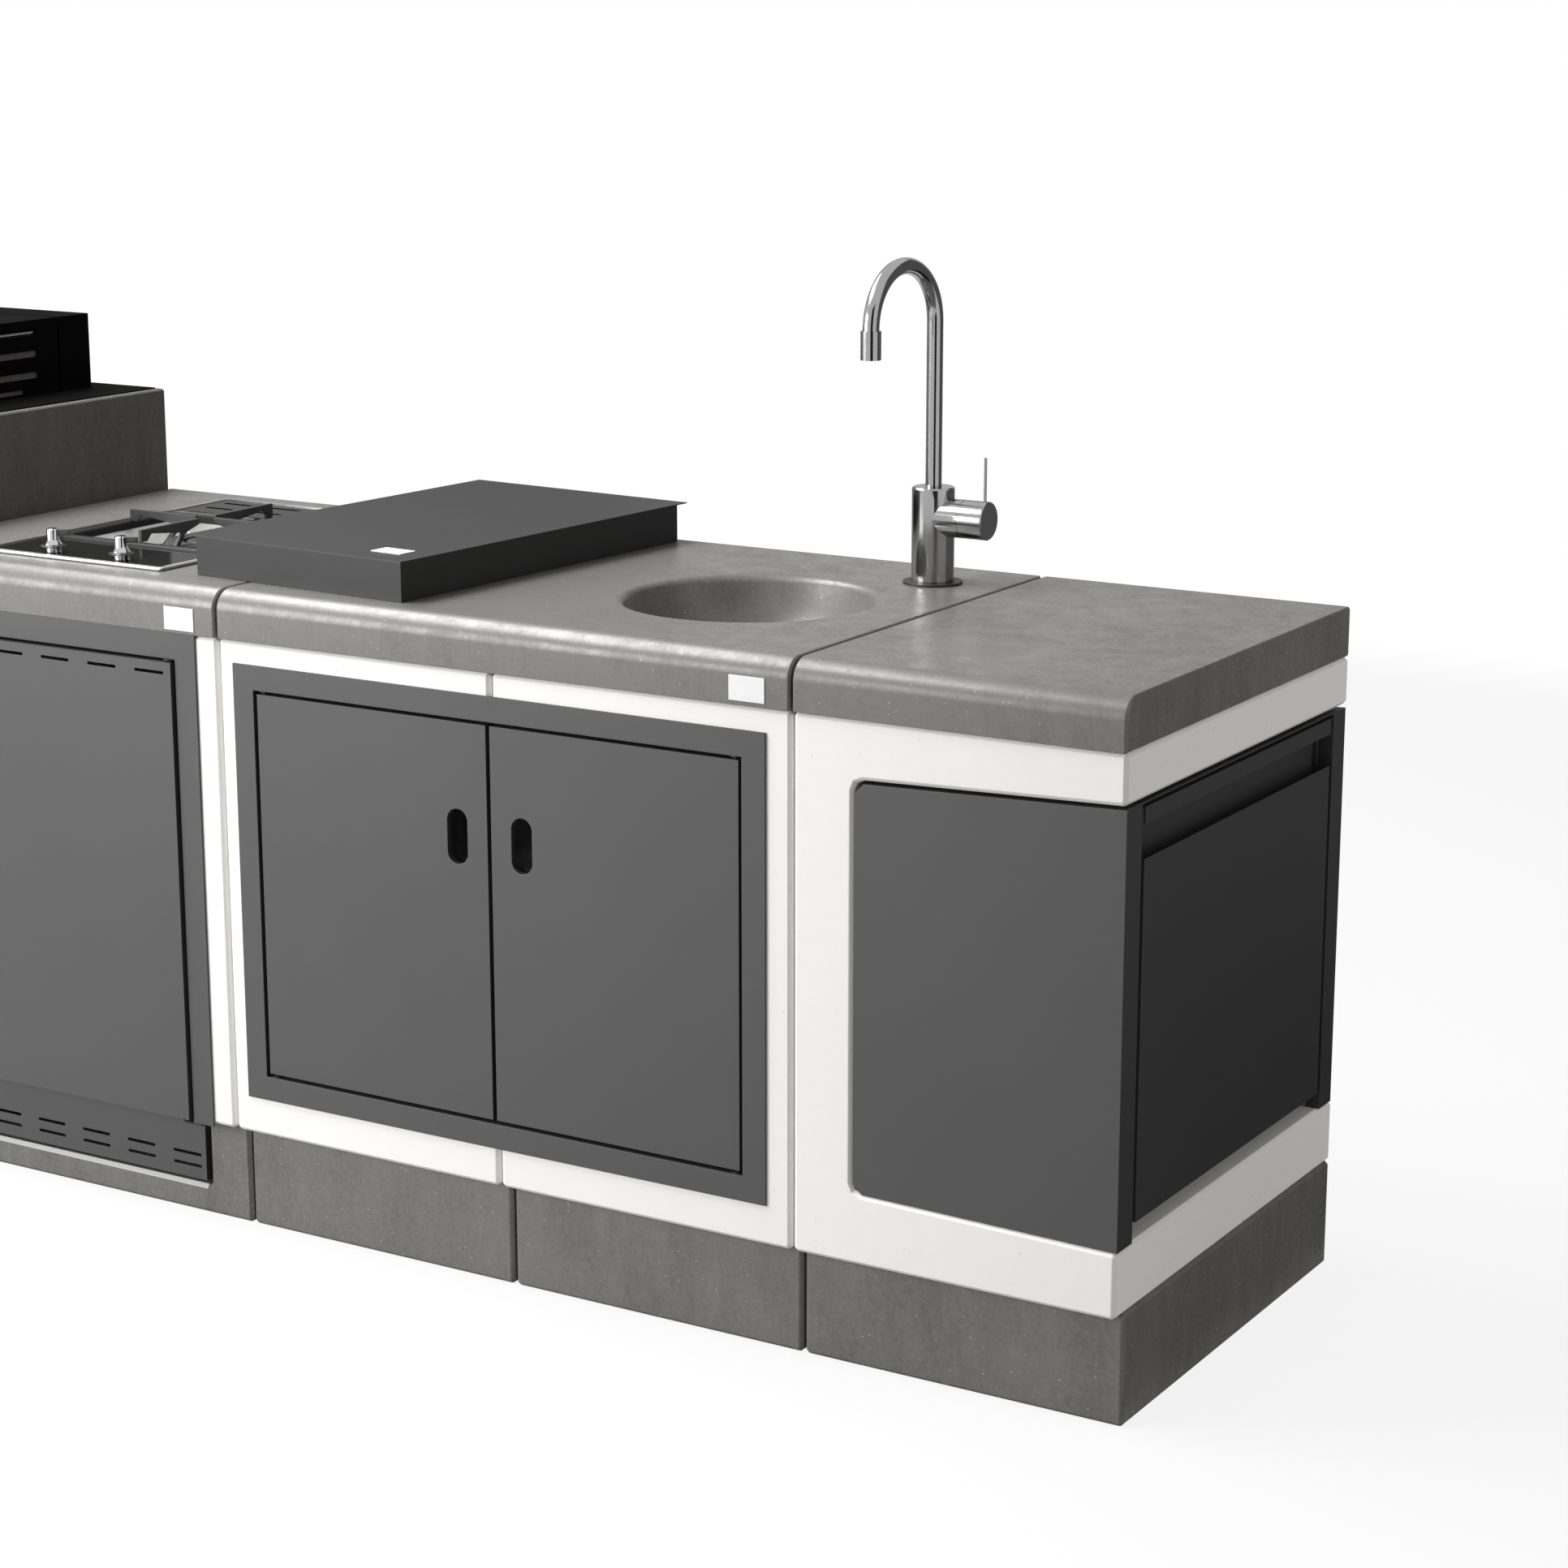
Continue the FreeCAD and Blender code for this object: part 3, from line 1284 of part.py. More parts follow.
def cooking_grate():
    """Chrome cooking grate on the bricks: thin bars between two thick ones, on two notched strips."""
    inset = hood_sheet + grate_side_gap + grate_rod_radius
    x0, x1 = grill_x0 + inset, grill_x1 - inset
    y0, y1 = brick_front + grate_rod_radius, brick_back - grate_rod_radius
    low = plate_top + brick_top_height + seat_float
    z = low + grate_rod_radius
    rods = [Part.makeCylinder(grate_rod_radius, y1 - y0, V(x, y0, z), V(0, 1, 0)) for x in (x0, x1)]
    count = int((x1 - x0) / grate_bar_pitch)
    for index in range(1, count):
        x = x0 + index * (x1 - x0) / count
        rods.append(Part.makeCylinder(grate_bar_radius, y1 - y0, V(x, y0, z), V(0, 1, 0)))
    top = low + grate_strip_height
    strips = [block(x0, y0, low, x1, y0 + grate_strip_width, top),
              block(x0, y1 - grate_strip_width, low, x1, y1, top)]
    return Part.makeCompound([strip.cut(rods) for strip in strips] + rods)


def hood_housing():
    """Fixed steel housing behind the hood, with the two ears and pins of the hood's hinge."""
    body = block(grill_x0, housing_front, plate_top, grill_x1, grill_back, hood_top)
    inner = hood_sheet
    body = body.cut(block(grill_x0 + inner, housing_front + inner, plate_top - cut_overrun, grill_x1 - inner,
                          grill_back - inner, hood_top - inner))
    for side, wall in ((1, grill_x0), (-1, grill_x1)):
        near = wall + side * (hood_sheet + hinge_ear_gap)
        far = near + side * hinge_ear
        ear = block(min(near, far), hood_hinge_y - hinge_ear_top, hood_hinge_z - hinge_ear_height,
                    max(near, far), housing_front, hood_hinge_z - hinge_ear_top)
        axis = V(far, hood_hinge_y, hood_hinge_z)
        eye = Part.makeCylinder(hinge_eye_radius, hinge_ear, axis, V(-side, 0, 0))
        pin = Part.makeCylinder(hinge_pin_radius, abs(far - wall), axis, V(-side, 0, 0))
        body = body.fuse([ear, eye, pin])
    return body


def hood():
    """Hood over the grill: closed top, front and sides, with slots in the sides."""
    low = plate_top + hood_lift
    body = block(grill_x0, grill_front, low, grill_x1, hood_back, hood_top)
    body = body.cut(block(grill_x0 + hood_sheet, grill_front + hood_sheet, low - cut_overrun,
                          grill_x1 - hood_sheet, hood_back + cut_overrun, hood_top - hood_sheet))
    body = body.cut(block(grill_x0 - cut_overrun, hood_slot_front, low - cut_overrun, grill_x1 + cut_overrun,
                          hood_foot_back, low + hood_foot_height))
    radius = hood_slot_height / 2
    across = grill_x1 - grill_x0 + 2 * cut_overrun
    for drop in hood_slot_drops:
        z = hood_top - drop
        slot = block(grill_x0 - cut_overrun, hood_slot_front + radius, z - radius, grill_x1 + cut_overrun,
                     hood_slot_back - radius, z + radius)
        ends = [Part.makeCylinder(radius, across, V(grill_x0 - cut_overrun, y, z), V(1, 0, 0))
                for y in (hood_slot_front + radius, hood_slot_back - radius)]
        body = body.cut(slot.fuse(ends))
    bore = Part.makeCylinder(hinge_pin_radius + tap_running_fit, across,
                             V(grill_x0 - cut_overrun, hood_hinge_y, hood_hinge_z), V(1, 0, 0))
    return body.cut(bore)


def hood_handle():
    """Chrome bar on two short posts at the front of the hood."""
    y = grill_front - handle_bar_stand
    z = hood_top - handle_bar_drop
    x0, x1 = grill_x0 + handle_bar_margin, grill_x1 - handle_bar_margin
    bar = Part.makeCylinder(handle_bar_radius, x1 - x0, V(x0, y, z), V(1, 0, 0))
    posts = [Part.makeCylinder(handle_post_radius, handle_bar_stand, V(x, y, z), V(0, 1, 0))
             for x in (x0 + handle_bar_margin / 2, x1 - handle_bar_margin / 2)]
    return bar.fuse(posts)


def build():
    """All pieces by name, still in the building frame."""
    return {
        "plinth_corner": plinth(0, module_pitch),
        "plinth_sink_right": plinth(-module_pitch, 0),
        "plinth_sink_left": plinth(sink_left, -module_pitch),
        "plinth_hob": with_hose_hole(notched_plinth(hob_left, sink_left)),
        "plinth_grill": notched_plinth(grill_left, hob_left),
        "frame_corner": frame_corner(),
        "frame_sink_right": frame_sink_right(),
        "frame_sink_left": frame_sink_left(),
        "frame_hob": with_hose_hole(vented_frame(hob_left, sink_left)).fuse(seam_bosses(hob_left)),
        "frame_grill": vented_frame(grill_left, hob_left),
        "worktop_corner": worktop_corner(),
        "worktop_sink": worktop_sink(),
        "worktop_hob": worktop_hob(),
        "grill_surround": surround(),
        "grill_top_plate": grill_top_plate(),
        "grill_firebox": firebox(),
        "grill_firebricks": firebricks(),
        "grill_grate": cooking_grate(),
        "grill_hood": hood(),
        "hood_handle": hood_handle(),
        "hood_housing": hood_housing(),
        "sink_front_plate": sink_front_plate(),
        "sink_liner": sink_liner(),
        "sink_shelf": sink_shelf(),
        "sink_door_left": sink_door(-1),
        "sink_door_right": sink_door(1),
        "door_hinges": door_hinges(),
        "vented_front_plates": pair_of(vented_front_plate),
        "hob_door": vented_door(hob_left, sink_left),
        "grill_door": vented_door(grill_left, hob_left),
        "vented_aprons": pair_of(apron),
        "back_panels": pair_of(back_panel),
        "hob_rim": hob_rim(),
        "hob_top_sheet": hob_top_sheet(),
        "hob_burner_pan": burner_pan(),
        "hob_tray": hob_tray(),
        "hob_burner": burner(),
        "hob_burner_caps": burner_caps(),
        "hob_pan_support": pan_support(),
        "hob_knob_left": knob(knob_x[0]),
        "hob_knob_right": knob(knob_x[1]),
        "hob_gas_valves": gas_valves(),
        "hob_cover": hob_cover(),
        "sink_drain": sink_drain(),
        "drain_trap": drain_trap(),
        "tap_flange": tap_flange(),
        "tap_shank": tap_shank(),
        "tap_body": tap_body(),
        "tap_spout": tap_spout(),
        "tap_aerator": tap_aerator(),
        "tap_handle": tap_handle(),
        "tap_lever": tap_lever(),
        "corner_cabinet": corner_cabinet(),
        "cabinet_walls": cabinet_walls(),
        "drawer_front": drawer_front(),
        "drawer_grip": drawer_grip(),
        "drawer_box": drawer_box(),
        "runner_fixed": runner_member(0),
        "runner_middle": runner_member(1),
        "runner_drawer": runner_member(2),
    }


pieces = build()
whole = Part.makeCompound(list(pieces.values())).BoundBox
origin = V((whole.XMin + whole.XMax) / 2, (whole.YMin + whole.YMax) / 2, whole.ZMin)
os.makedirs("parts", exist_ok=True)
for name, shape in pieces.items():
    shape.translate(-origin)
    shape.exportStep("parts/" + name + ".step")
print("pieces", len(pieces), "origin", origin)
places = {
    "sink_door_left": V(*sink_pivot(-1), sink_open_low),
    "sink_door_right": V(*sink_pivot(1), sink_open_low),
    "hob_door": V(*vented_pivot(sink_left), vented_door_low),
    "grill_door": V(*vented_pivot(hob_left), vented_door_low),
    "hob_knob_left": V(knob_x[0], knob_y, hob_top),
    "hob_knob_right": V(knob_x[1], knob_y, hob_top),
    "grill_hood": V((grill_x0 + grill_x1) / 2, hood_hinge_y, hood_hinge_z),
    "tap_spout": V(tap_x, tap_y, tap_base + tap_body_height),
    "tap_handle": V(tap_x + valve_reach, tap_y, valve_z),
    "drain_outlet": V(sink_x, row_depth, drain_seat - drain_pipe_length - trap_drop - trap_outlet_drop),
    "gas_inlet": V(hob_centre_x, gas_inlet_y(), gas_inlet_low()),
}
for name, place in places.items():
    print(name, [round(v, 2) for v in place - origin])
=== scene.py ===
import bpy
import bmesh
import json
import math
from mathutils import Matrix, Vector


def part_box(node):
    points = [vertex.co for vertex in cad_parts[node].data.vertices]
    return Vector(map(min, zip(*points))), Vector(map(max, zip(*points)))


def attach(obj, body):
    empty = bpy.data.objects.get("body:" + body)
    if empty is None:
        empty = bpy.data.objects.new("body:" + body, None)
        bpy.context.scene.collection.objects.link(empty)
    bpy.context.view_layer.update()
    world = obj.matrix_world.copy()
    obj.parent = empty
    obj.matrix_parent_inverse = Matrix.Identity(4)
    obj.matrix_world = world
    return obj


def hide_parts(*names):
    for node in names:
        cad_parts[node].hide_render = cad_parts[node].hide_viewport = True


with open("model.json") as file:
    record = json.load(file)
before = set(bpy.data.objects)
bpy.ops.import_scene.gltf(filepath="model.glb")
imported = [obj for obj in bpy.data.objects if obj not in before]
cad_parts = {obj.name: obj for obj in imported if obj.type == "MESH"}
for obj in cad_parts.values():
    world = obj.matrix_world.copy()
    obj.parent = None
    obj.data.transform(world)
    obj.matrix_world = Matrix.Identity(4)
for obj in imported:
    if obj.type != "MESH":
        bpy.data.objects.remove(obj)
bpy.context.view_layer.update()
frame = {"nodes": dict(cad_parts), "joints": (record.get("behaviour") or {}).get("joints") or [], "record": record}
nodes = frame["nodes"]

# Lengths are in metres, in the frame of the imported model: X along the row, Y to the back, Z up.

# Camera, with its angles in degrees and its lens in millimetres
camera_place = (2.9727, -3.8245, 1.7212)
camera_tilt = 76.559
camera_turn = 31.114
camera_lens = 78.73
camera_sensor = 36.0

# Light
sky_strength = 0.29
key_place = (-1.25, -0.5, 3.3)
key_aim = (-0.2, -0.1, 0.6)
key_size = (2.8, 1.3)
key_power = 162.0
fill_place = (-3.5, -4.5, 1.9)
fill_aim = (0.1, 0.0, 0.6)
fill_size = (3.4, 2.4)
fill_power = 300.0
side_place = (4.6, 0.5, 1.3)
side_aim = (0.9, 0.0, 0.6)
side_size = (2.4, 1.6)
side_power = 31.0

# Floor, and the cards that polished metal mirrors, as (brightness, first end, second end)
white = (1.0, 1.0, 1.0, 1.0)
floor_size = 60.0
floor_bounce = (0.30, 0.30, 0.30, 1.0)
floor_shown = (0.85, 0.85, 0.85, 1.0)
floor_near = 1.3
floor_far = 4.5
floor_glow = 0.85
card_height = 3.2
cards = {
    "side_card": (0.15, (3.4, 0.7), (0.9, 3.0)),
    "back_card_right": (0.60, (0.9, 3.0), (-1.1, 2.47)),
    "back_card_left": (0.29, (-1.1, 2.47), (-4.4, 1.6)),
    "front_card": (0.03, (2.2, -3.3), (3.4, -1.9)),
}
floor_card_level = 0.02
floor_card_lift = 0.004
floor_card_corners = ((1.36, -0.34), (2.7, -0.34), (2.7, 2.3), (1.36, 2.3))

# Noise of the finishes, as (cells per metre, detail, roughness, lowest and highest value in use)
patterns = {
    "concrete_patches": (3.4, 6.0, 0.60, 0.36, 0.66),
    "concrete_mottle": (26.0, 8.0, 0.68, 0.34, 0.68),
    "concrete_grit": (150.0, 4.0, 0.70, 0.38, 0.62),
    "concrete_fine": (520.0, 3.0, 0.55, 0.30, 0.70),
    "concrete_rust": (7.0, 5.0, 0.60, 0.50, 0.80),
    "coat_patches": (3.2, 3.0, 0.55, 0.30, 0.70),
    "coat_peel": (950.0, 2.0, 0.55, 0.30, 0.70),
    "coat_grit": (2600.0, 1.0, 0.55, 0.30, 0.70),
    "metal_lines": (300.0, 3.0, 0.55, 0.30, 0.70),
    "metal_smears": (26.0, 5.0, 0.65, 0.42, 0.75),
    "cast_patches": (30.0, 4.0, 0.55, 0.30, 0.70),
    "iron_sand": (700.0, 4.0, 0.70, 0.30, 0.70),
    "alloy_sand": (900.0, 4.0, 0.70, 0.30, 0.70),
    "brick_patches": (12.0, 6.0, 0.65, 0.30, 0.70),
    "brick_sand": (500.0, 4.0, 0.55, 0.30, 0.70),
    "brick_soot": (6.0, 5.0, 0.55, 0.50, 0.72),
    "moulded_flow": (18.0, 3.0, 0.55, 0.30, 0.70),
    "glass_grain": (1200.0, 2.0, 0.55, 0.30, 0.70),
    "ring_grain": (1500.0, 2.0, 0.55, 0.30, 0.70),
    "plastic_grain": (900.0, 2.0, 0.55, 0.30, 0.70),
    "ceramic_grain": (600.0, 2.0, 0.55, 0.30, 0.70),
    "plate_grain": (1400.0, 2.0, 0.55, 0.30, 0.70),
}

# Scattered spots, as (cells per metre, size in its cell), and marks, as (strength, tint)
grain_core = 0.45
concrete_specks = (105.0, 0.12)
concrete_pores = (150.0, 0.16)
brick_pores = (260.0, 0.34)
brick_pore_share = 0.45
speck_mark = (0.8, 4.5)
pore_mark = (0.7, 0.35)
brick_pore_mark = (0.8, 0.45)
soot_mark = (0.6, 0.25)

# Cast concrete: its tone shares are those of the patches, the mottling, the grit and the fine grain
mottle_stretch = (1.0, 1.0, 0.22)
concrete_tone_shares = (0.26, 0.34, 0.24, 0.16)
concrete_warm_tints = (1.08, 0.98, 0.90)
concrete_edge_radius = 0.003
concrete_edge_tint = 1.5
fine_relief_share = 0.25
mottle_relief_share = 0.2
concrete_depth = 0.0002
concrete_tone_range = (0.2, 0.8)
concrete_rough_steps = (0.12, 0.1)

# Powder coat: its tone shares are those of the patches and the peel, its relief's the peel and the grit
coat_tone_shares = (0.55, 0.45)
coat_tints = (0.96, 1.04)
# The coat's paler edges are partly wear and partly a painted highlight along the edges
coat_edge_radius = 0.0008
coat_edge_wear_and_highlight_tint = 1.6
coat_relief_shares = (0.7, 0.3)
coat_depth = 0.00004
coat_rough_step = 0.04

# Bare metal: its tone shares are those of the lines and the smears
metal_tone_shares = (0.6, 0.4)
metal_tints = (0.95, 1.03)
metal_rough_shares = (0.85, 1.15)

# Castings: their tone shares are those of the sand grain and the patches
cast_tone_shares = (0.5, 0.5)
cast_tints = (0.8, 1.2)
cast_edge_radius = 0.001
cast_edge_wear = 1.2
cast_edge_tint = 1.7
cast_rough_step = 0.08

# Firebrick and mouldings
brick_tints = (0.8, 1.12)
brick_relief_share = 0.5
brick_depth = 0.0006
brick_rough_range = (0.82, 0.95)
moulded_tints = (0.95, 1.05)
moulded_rough_step = 0.03

# Shader nodes: the sockets of a colour mix, and the samples that find the edges
first_colour = 6
second_colour = 7
mixed_colour = 2
edge_samples = 4

# Rounded edges
smooth_angle = math.radians(32)
weld_reach = 2e-5
bevel_steps = 2
bevel_profile = 0.5
thin_edge = 0.0004
plate_edge = 0.0005
door_edge = 0.0006
iron_edge = 0.0010
stone_edge = 0.0012

# Bevels on the edges of the solids. The two base blocks with a notch and most thin sheets keep sharp edges
bevelled = (
    (stone_edge, ("frame_corner", "frame_sink_right", "frame_sink_left", "frame_hob", "frame_grill",
                  "plinth_corner", "plinth_sink_right", "plinth_sink_left", "worktop_corner",
                  "worktop_sink", "worktop_hob", "grill_surround", "grill_firebricks")),
    (iron_edge, ("hob_pan_support", "hob_burner_caps")),
    (door_edge, ("sink_door_left", "sink_door_right", "hob_cover", "corner_cabinet", "drawer_front")),
    (plate_edge, ("sink_front_plate", "vented_front_plates", "drawer_grip")),
    (thin_edge, ("grill_top_plate", "tap_handle", "tap_flange", "hob_rim")),
)
bevel_of = {name: width for width, names in bevelled for name in names}

# Solids whose finish differs from that of their slot
refinished = {
    "plinth_concrete": ("plinth_corner", "plinth_sink_right", "plinth_sink_left", "plinth_hob",
                        "plinth_grill"),
    "cover_steel": ("hob_cover",),
    "black_steel": ("hob_tray",),
    "hinge_steel": ("door_hinges",),
    "rim_steel": ("hob_rim",),
    "deck": ("hob_top_sheet",),
    "tap_steel": ("tap_body", "tap_spout", "tap_aerator", "tap_handle", "tap_lever"),
}
own_finish = {name: finish for finish, names in refinished.items() for name in names}

# New pieces: bare plates, as (worktop, distance from its right end, distance under its top)
plate_size = (0.0512, 0.0316)
plate_depth = 0.0012
plate_round = 0.0003
front_plates = (("worktop_sink", 0.0607, 0.0442), ("worktop_hob", 0.0610, 0.0455))
cover_plate_middle = (0.1997, -0.2359)
cover_turn = math.radians(-4.05)

# New pieces: knobs, as (radius, height) outlines over the hob's top, each with a flat lever
hob_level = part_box("hob_top_sheet")[1].z
knob_lift = 0.0003
knob_rings = 3
ring_pitch = 0.003
ring_radius = 0.0115
ring_groove = 0.0098
ring_round = 0.0005
skirt_outline = ((0.0, 0.0094), (0.0170, 0.0094), (0.0180, 0.0098), (0.0178, 0.0104), (0.0130, 0.0112),
                 (0.0, 0.0112))
stem_outline = ((0.0, 0.0112), (0.0126, 0.0112), (0.0130, 0.0118), (0.0128, 0.0126), (0.0092, 0.0180),
                (0.0087, 0.0190), (0.0087, 0.0322), (0.0083, 0.0335), (0.0074, 0.0341), (0.0, 0.0342))
lever_reach = (0.0070, 0.0240)
lever_half = 0.0026
lever_heights = (0.0245, 0.0325)
lever_turn = math.radians(31)
lathe_steps = 48

# New pieces: the burner pan. Its border is (distance outside the opening, height over the hob's top)
pan_opening = (0.276, 0.230)
pan_round = 0.014
border_outline = ((0.0225, 0.0), (0.0219, 0.0018), (0.0204, 0.0032), (0.0182, 0.0037), (0.0160, 0.0030),
                  (0.0142, 0.0010), (0.0128, 0.0004), (0.0112, 0.0008), (0.0094, 0.0020), (0.0068, 0.0025),
                  (0.0030, 0.0025), (0.0014, 0.0022), (0.0002, 0.0010), (-0.0004, -0.0012),
                  (-0.0012, -0.0060), (-0.0016, -0.0090))
pan_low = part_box("hob_burner_pan")[0]
pan_border = border_outline[0][0]
opening_low = (pan_low.x + pan_border, pan_low.y + pan_border)
# Its floor is (distance inside the opening at the front and the sides, the same at the back, height)
well_outline = ((0.0016, 0.0016, -0.0090), (0.0060, 0.0019, -0.0118), (0.0300, 0.0022, -0.0240),
                (0.0440, 0.0024, -0.0306), (0.0500, 0.0026, -0.0326))
pan_sheet = 0.0009
corner_steps = 10
corner_angle = math.pi / 2

# New pieces: the seal round the hob's rim, as (distance outside the rim, height over its foot)
rim_round = 0.0045
seal_outline = ((-0.0020, 0.0), (0.0019, 0.0), (0.0018, 0.0016), (0.0003, 0.0022), (-0.0020, 0.0022))

# New pieces: pale strips on the sloped edges of the notches in two base blocks, partly a trim and partly a painted
# highlight of those edges
notched = ("plinth_hob", "plinth_grill")
strip_half = 0.249
strip_foot = 0.0357
strip_run = 0.0045
strip_rise = 0.0058
strip_depth = 0.0004

# New pieces: screws, and the spark electrode, whose place is counted from the foot of the burner's middle
screw_outline = ((0.0, 0.0024), (0.0012, 0.0024), (0.0015, 0.0016), (0.0022, 0.0023), (0.0034, 0.0019),
                 (0.0042, 0.0009), (0.0044, 0.0), (0.0, 0.0))
screw_inset = 0.024
spark_offset = (0.035, -0.06057, 0.0003)
spark_outline = ((0.0, 0.0), (0.0034, 0.0), (0.0034, 0.0040), (0.0024, 0.0046), (0.0024, 0.0110),
                 (0.0016, 0.0116), (0.0009, 0.0118), (0.0009, 0.0150), (0.0, 0.0153))


def add(tree, kind, inputs=None, **settings):
    """New node with its settings, and its inputs linked to sockets or set to values."""
    node = tree.nodes.new(kind)
    for name, value in settings.items():
        setattr(node, name, value)
    for name, value in (inputs or {}).items():
        if isinstance(value, bpy.types.NodeSocket):
            tree.links.new(value, node.inputs[name])
        else:
            node.inputs[name].default_value = value
    return node


def calc(tree, operation, first, second=0.0, clamp=False):
    """Result of one sum on two sockets or numbers."""
    node = add(tree, "ShaderNodeMath", {0: first, 1: second}, operation=operation, use_clamp=clamp)
    return node.outputs[0]


def sum_of(tree, parts, shares):
    """Sum of some patterns, each times its share."""
    total = calc(tree, "MULTIPLY", parts[0], shares[0])
    for part, share in zip(parts[1:], shares[1:]):
        total = calc(tree, "ADD", total, calc(tree, "MULTIPLY", part, share))
    return total


def place(tree, stretch=(1.0, 1.0, 1.0)):
    """Position on the piece, in metres, stretched along the axes."""
    spot = add(tree, "ShaderNodeTexCoord").outputs["Object"]
    mapping = add(tree, "ShaderNodeMapping", {"Vector": spot, "Scale": stretch})
    return mapping.outputs["Vector"]


def spread(tree, value, low, high, to_low=0.0, to_high=1.0):
    """Value moved from one range to another, and kept in it."""
    wanted = {"Value": value, "From Min": low, "From Max": high, "To Min": to_low, "To Max": to_high}
    return add(tree, "ShaderNodeMapRange", wanted).outputs["Result"]


def cloud(tree, spot, pattern):
    """Soft noise of a named pattern, spread to the range from 0 to 1."""
    scale, detail, rough, low, high = patterns[pattern]
    wanted = {"Vector": spot, "Scale": scale, "Detail": detail, "Roughness": rough}
    noise = add(tree, "ShaderNodeTexNoise", wanted)
    return spread(tree, noise.outputs["Fac"], low, high)


def mixed(tree, share, first, second):
    """Colour between two colours or colour sockets."""
    wanted = {"Factor": share, first_colour: first, second_colour: second}
    return add(tree, "ShaderNodeMix", wanted, data_type="RGBA").outputs[mixed_colour]


def tint(colour, factor):
    """Colour made lighter or darker."""
    return tuple(min(1.0, part * factor) for part in colour[:3]) + (1.0,)


def toned(tree, tone, colour, tints):
    """Colour that changes with the tone, from a darker to a lighter tint."""
    return mixed(tree, tone, tint(colour, tints[0]), tint(colour, tints[1]))


def marked(tree, body, mask, colour, mark):
    """Colour with marks of another tint where the mask says."""
    strength, factor = mark
    return mixed(tree, calc(tree, "MULTIPLY", mask, strength), body, tint(colour, factor))


def grains(tree, spot, spots, share):
    """Mask of scattered small spots, which a share of the cells have."""
    scale, size = spots
    cells = add(tree, "ShaderNodeTexVoronoi", {"Vector": spot, "Scale": scale})
    chosen = add(tree, "ShaderNodeSeparateColor", {"Color": cells.outputs["Color"]}).outputs[0]
    picked = calc(tree, "LESS_THAN", chosen, share)
    near = spread(tree, cells.outputs["Distance"], size, size * grain_core)
    return calc(tree, "MULTIPLY", picked, near)


def edge_mask(tree, radius, gain):
    """Mask that is 0 on flat faces and rises towards the edges."""
    rounded = add(tree, "ShaderNodeBevel", {"Radius": radius}, samples=edge_samples)
    real = add(tree, "ShaderNodeNewGeometry")
    both = {0: rounded.outputs["Normal"], 1: real.outputs["Normal"]}
    alike = add(tree, "ShaderNodeVectorMath", both, operation="DOT_PRODUCT").outputs["Value"]
    return calc(tree, "MULTIPLY", calc(tree, "SUBTRACT", 1.0, alike), gain, clamp=True)


def bumped(tree, height, depth):
    """Normal of a surface with the given relief, whose depth is in metres."""
    return add(tree, "ShaderNodeBump", {"Height": height, "Distance": depth}).outputs["Normal"]


def empty_material(name):
    """Material without nodes, and its node tree."""
    material = bpy.data.materials.new(name)
    material.use_nodes = True
    material.node_tree.nodes.clear()
    return material, material.node_tree


def new_material(name):
    """Material with its shader."""
    material, tree = empty_material(name)
    shader = add(tree, "ShaderNodeBsdfPrincipled")
    add(tree, "ShaderNodeOutputMaterial", {"Surface": shader.outputs["BSDF"]})
    return material, tree, shader


def connect(tree, shader, colour, rough, normal):
    """Links the colour, the roughness and the normal of a finish to its shader."""
    tree.links.new(colour, shader.inputs["Base Color"])
    tree.links.new(rough, shader.inputs["Roughness"])
    tree.links.new(normal, shader.inputs["Normal"])


def concrete(name, colour, contrast, rough, gloss, specks, pores, edge_lightening, warmth):
    """Cast concrete: warm clouds, drawn-out mottling, pale sand grains, dark pores and paler edges."""
    material, tree, shader = new_material(name)
    spot = place(tree)
    patches = cloud(tree, spot, "concrete_patches")
    mottle = cloud(tree, place(tree, mottle_stretch), "concrete_mottle")
    grit = cloud(tree, spot, "concrete_grit")
    fine = cloud(tree, spot, "concrete_fine")
    tone = sum_of(tree, (patches, mottle, grit, fine), concrete_tone_shares)
    body = toned(tree, tone, colour, (1 - contrast, 1 + contrast))
    warm = tuple(part * factor for part, factor in zip(colour, concrete_warm_tints)) + (1.0,)
    rust = cloud(tree, spot, "concrete_rust")
    body = mixed(tree, calc(tree, "MULTIPLY", rust, warmth), body, warm)
    body = marked(tree, body, grains(tree, spot, concrete_specks, specks), colour, speck_mark)
    holes = grains(tree, spot, concrete_pores, pores)
    body = marked(tree, body, holes, colour, pore_mark)
    edge = edge_mask(tree, concrete_edge_radius, edge_lightening)
    body = mixed(tree, calc(tree, "MULTIPLY", edge, mottle), body, tint(colour, concrete_edge_tint))
    relief = calc(tree, "SUBTRACT", calc(tree, "MULTIPLY", fine, fine_relief_share), holes)
    relief = calc(tree, "ADD", relief, calc(tree, "MULTIPLY", mottle, mottle_relief_share))
    low, high = concrete_tone_range
    duller, shinier = concrete_rough_steps
    shine = spread(tree, tone, low, high, rough + duller, rough - shinier)
    connect(tree, shader, body, shine, bumped(tree, relief, concrete_depth))
    shader.inputs["Specular IOR Level"].default_value = gloss
    return material


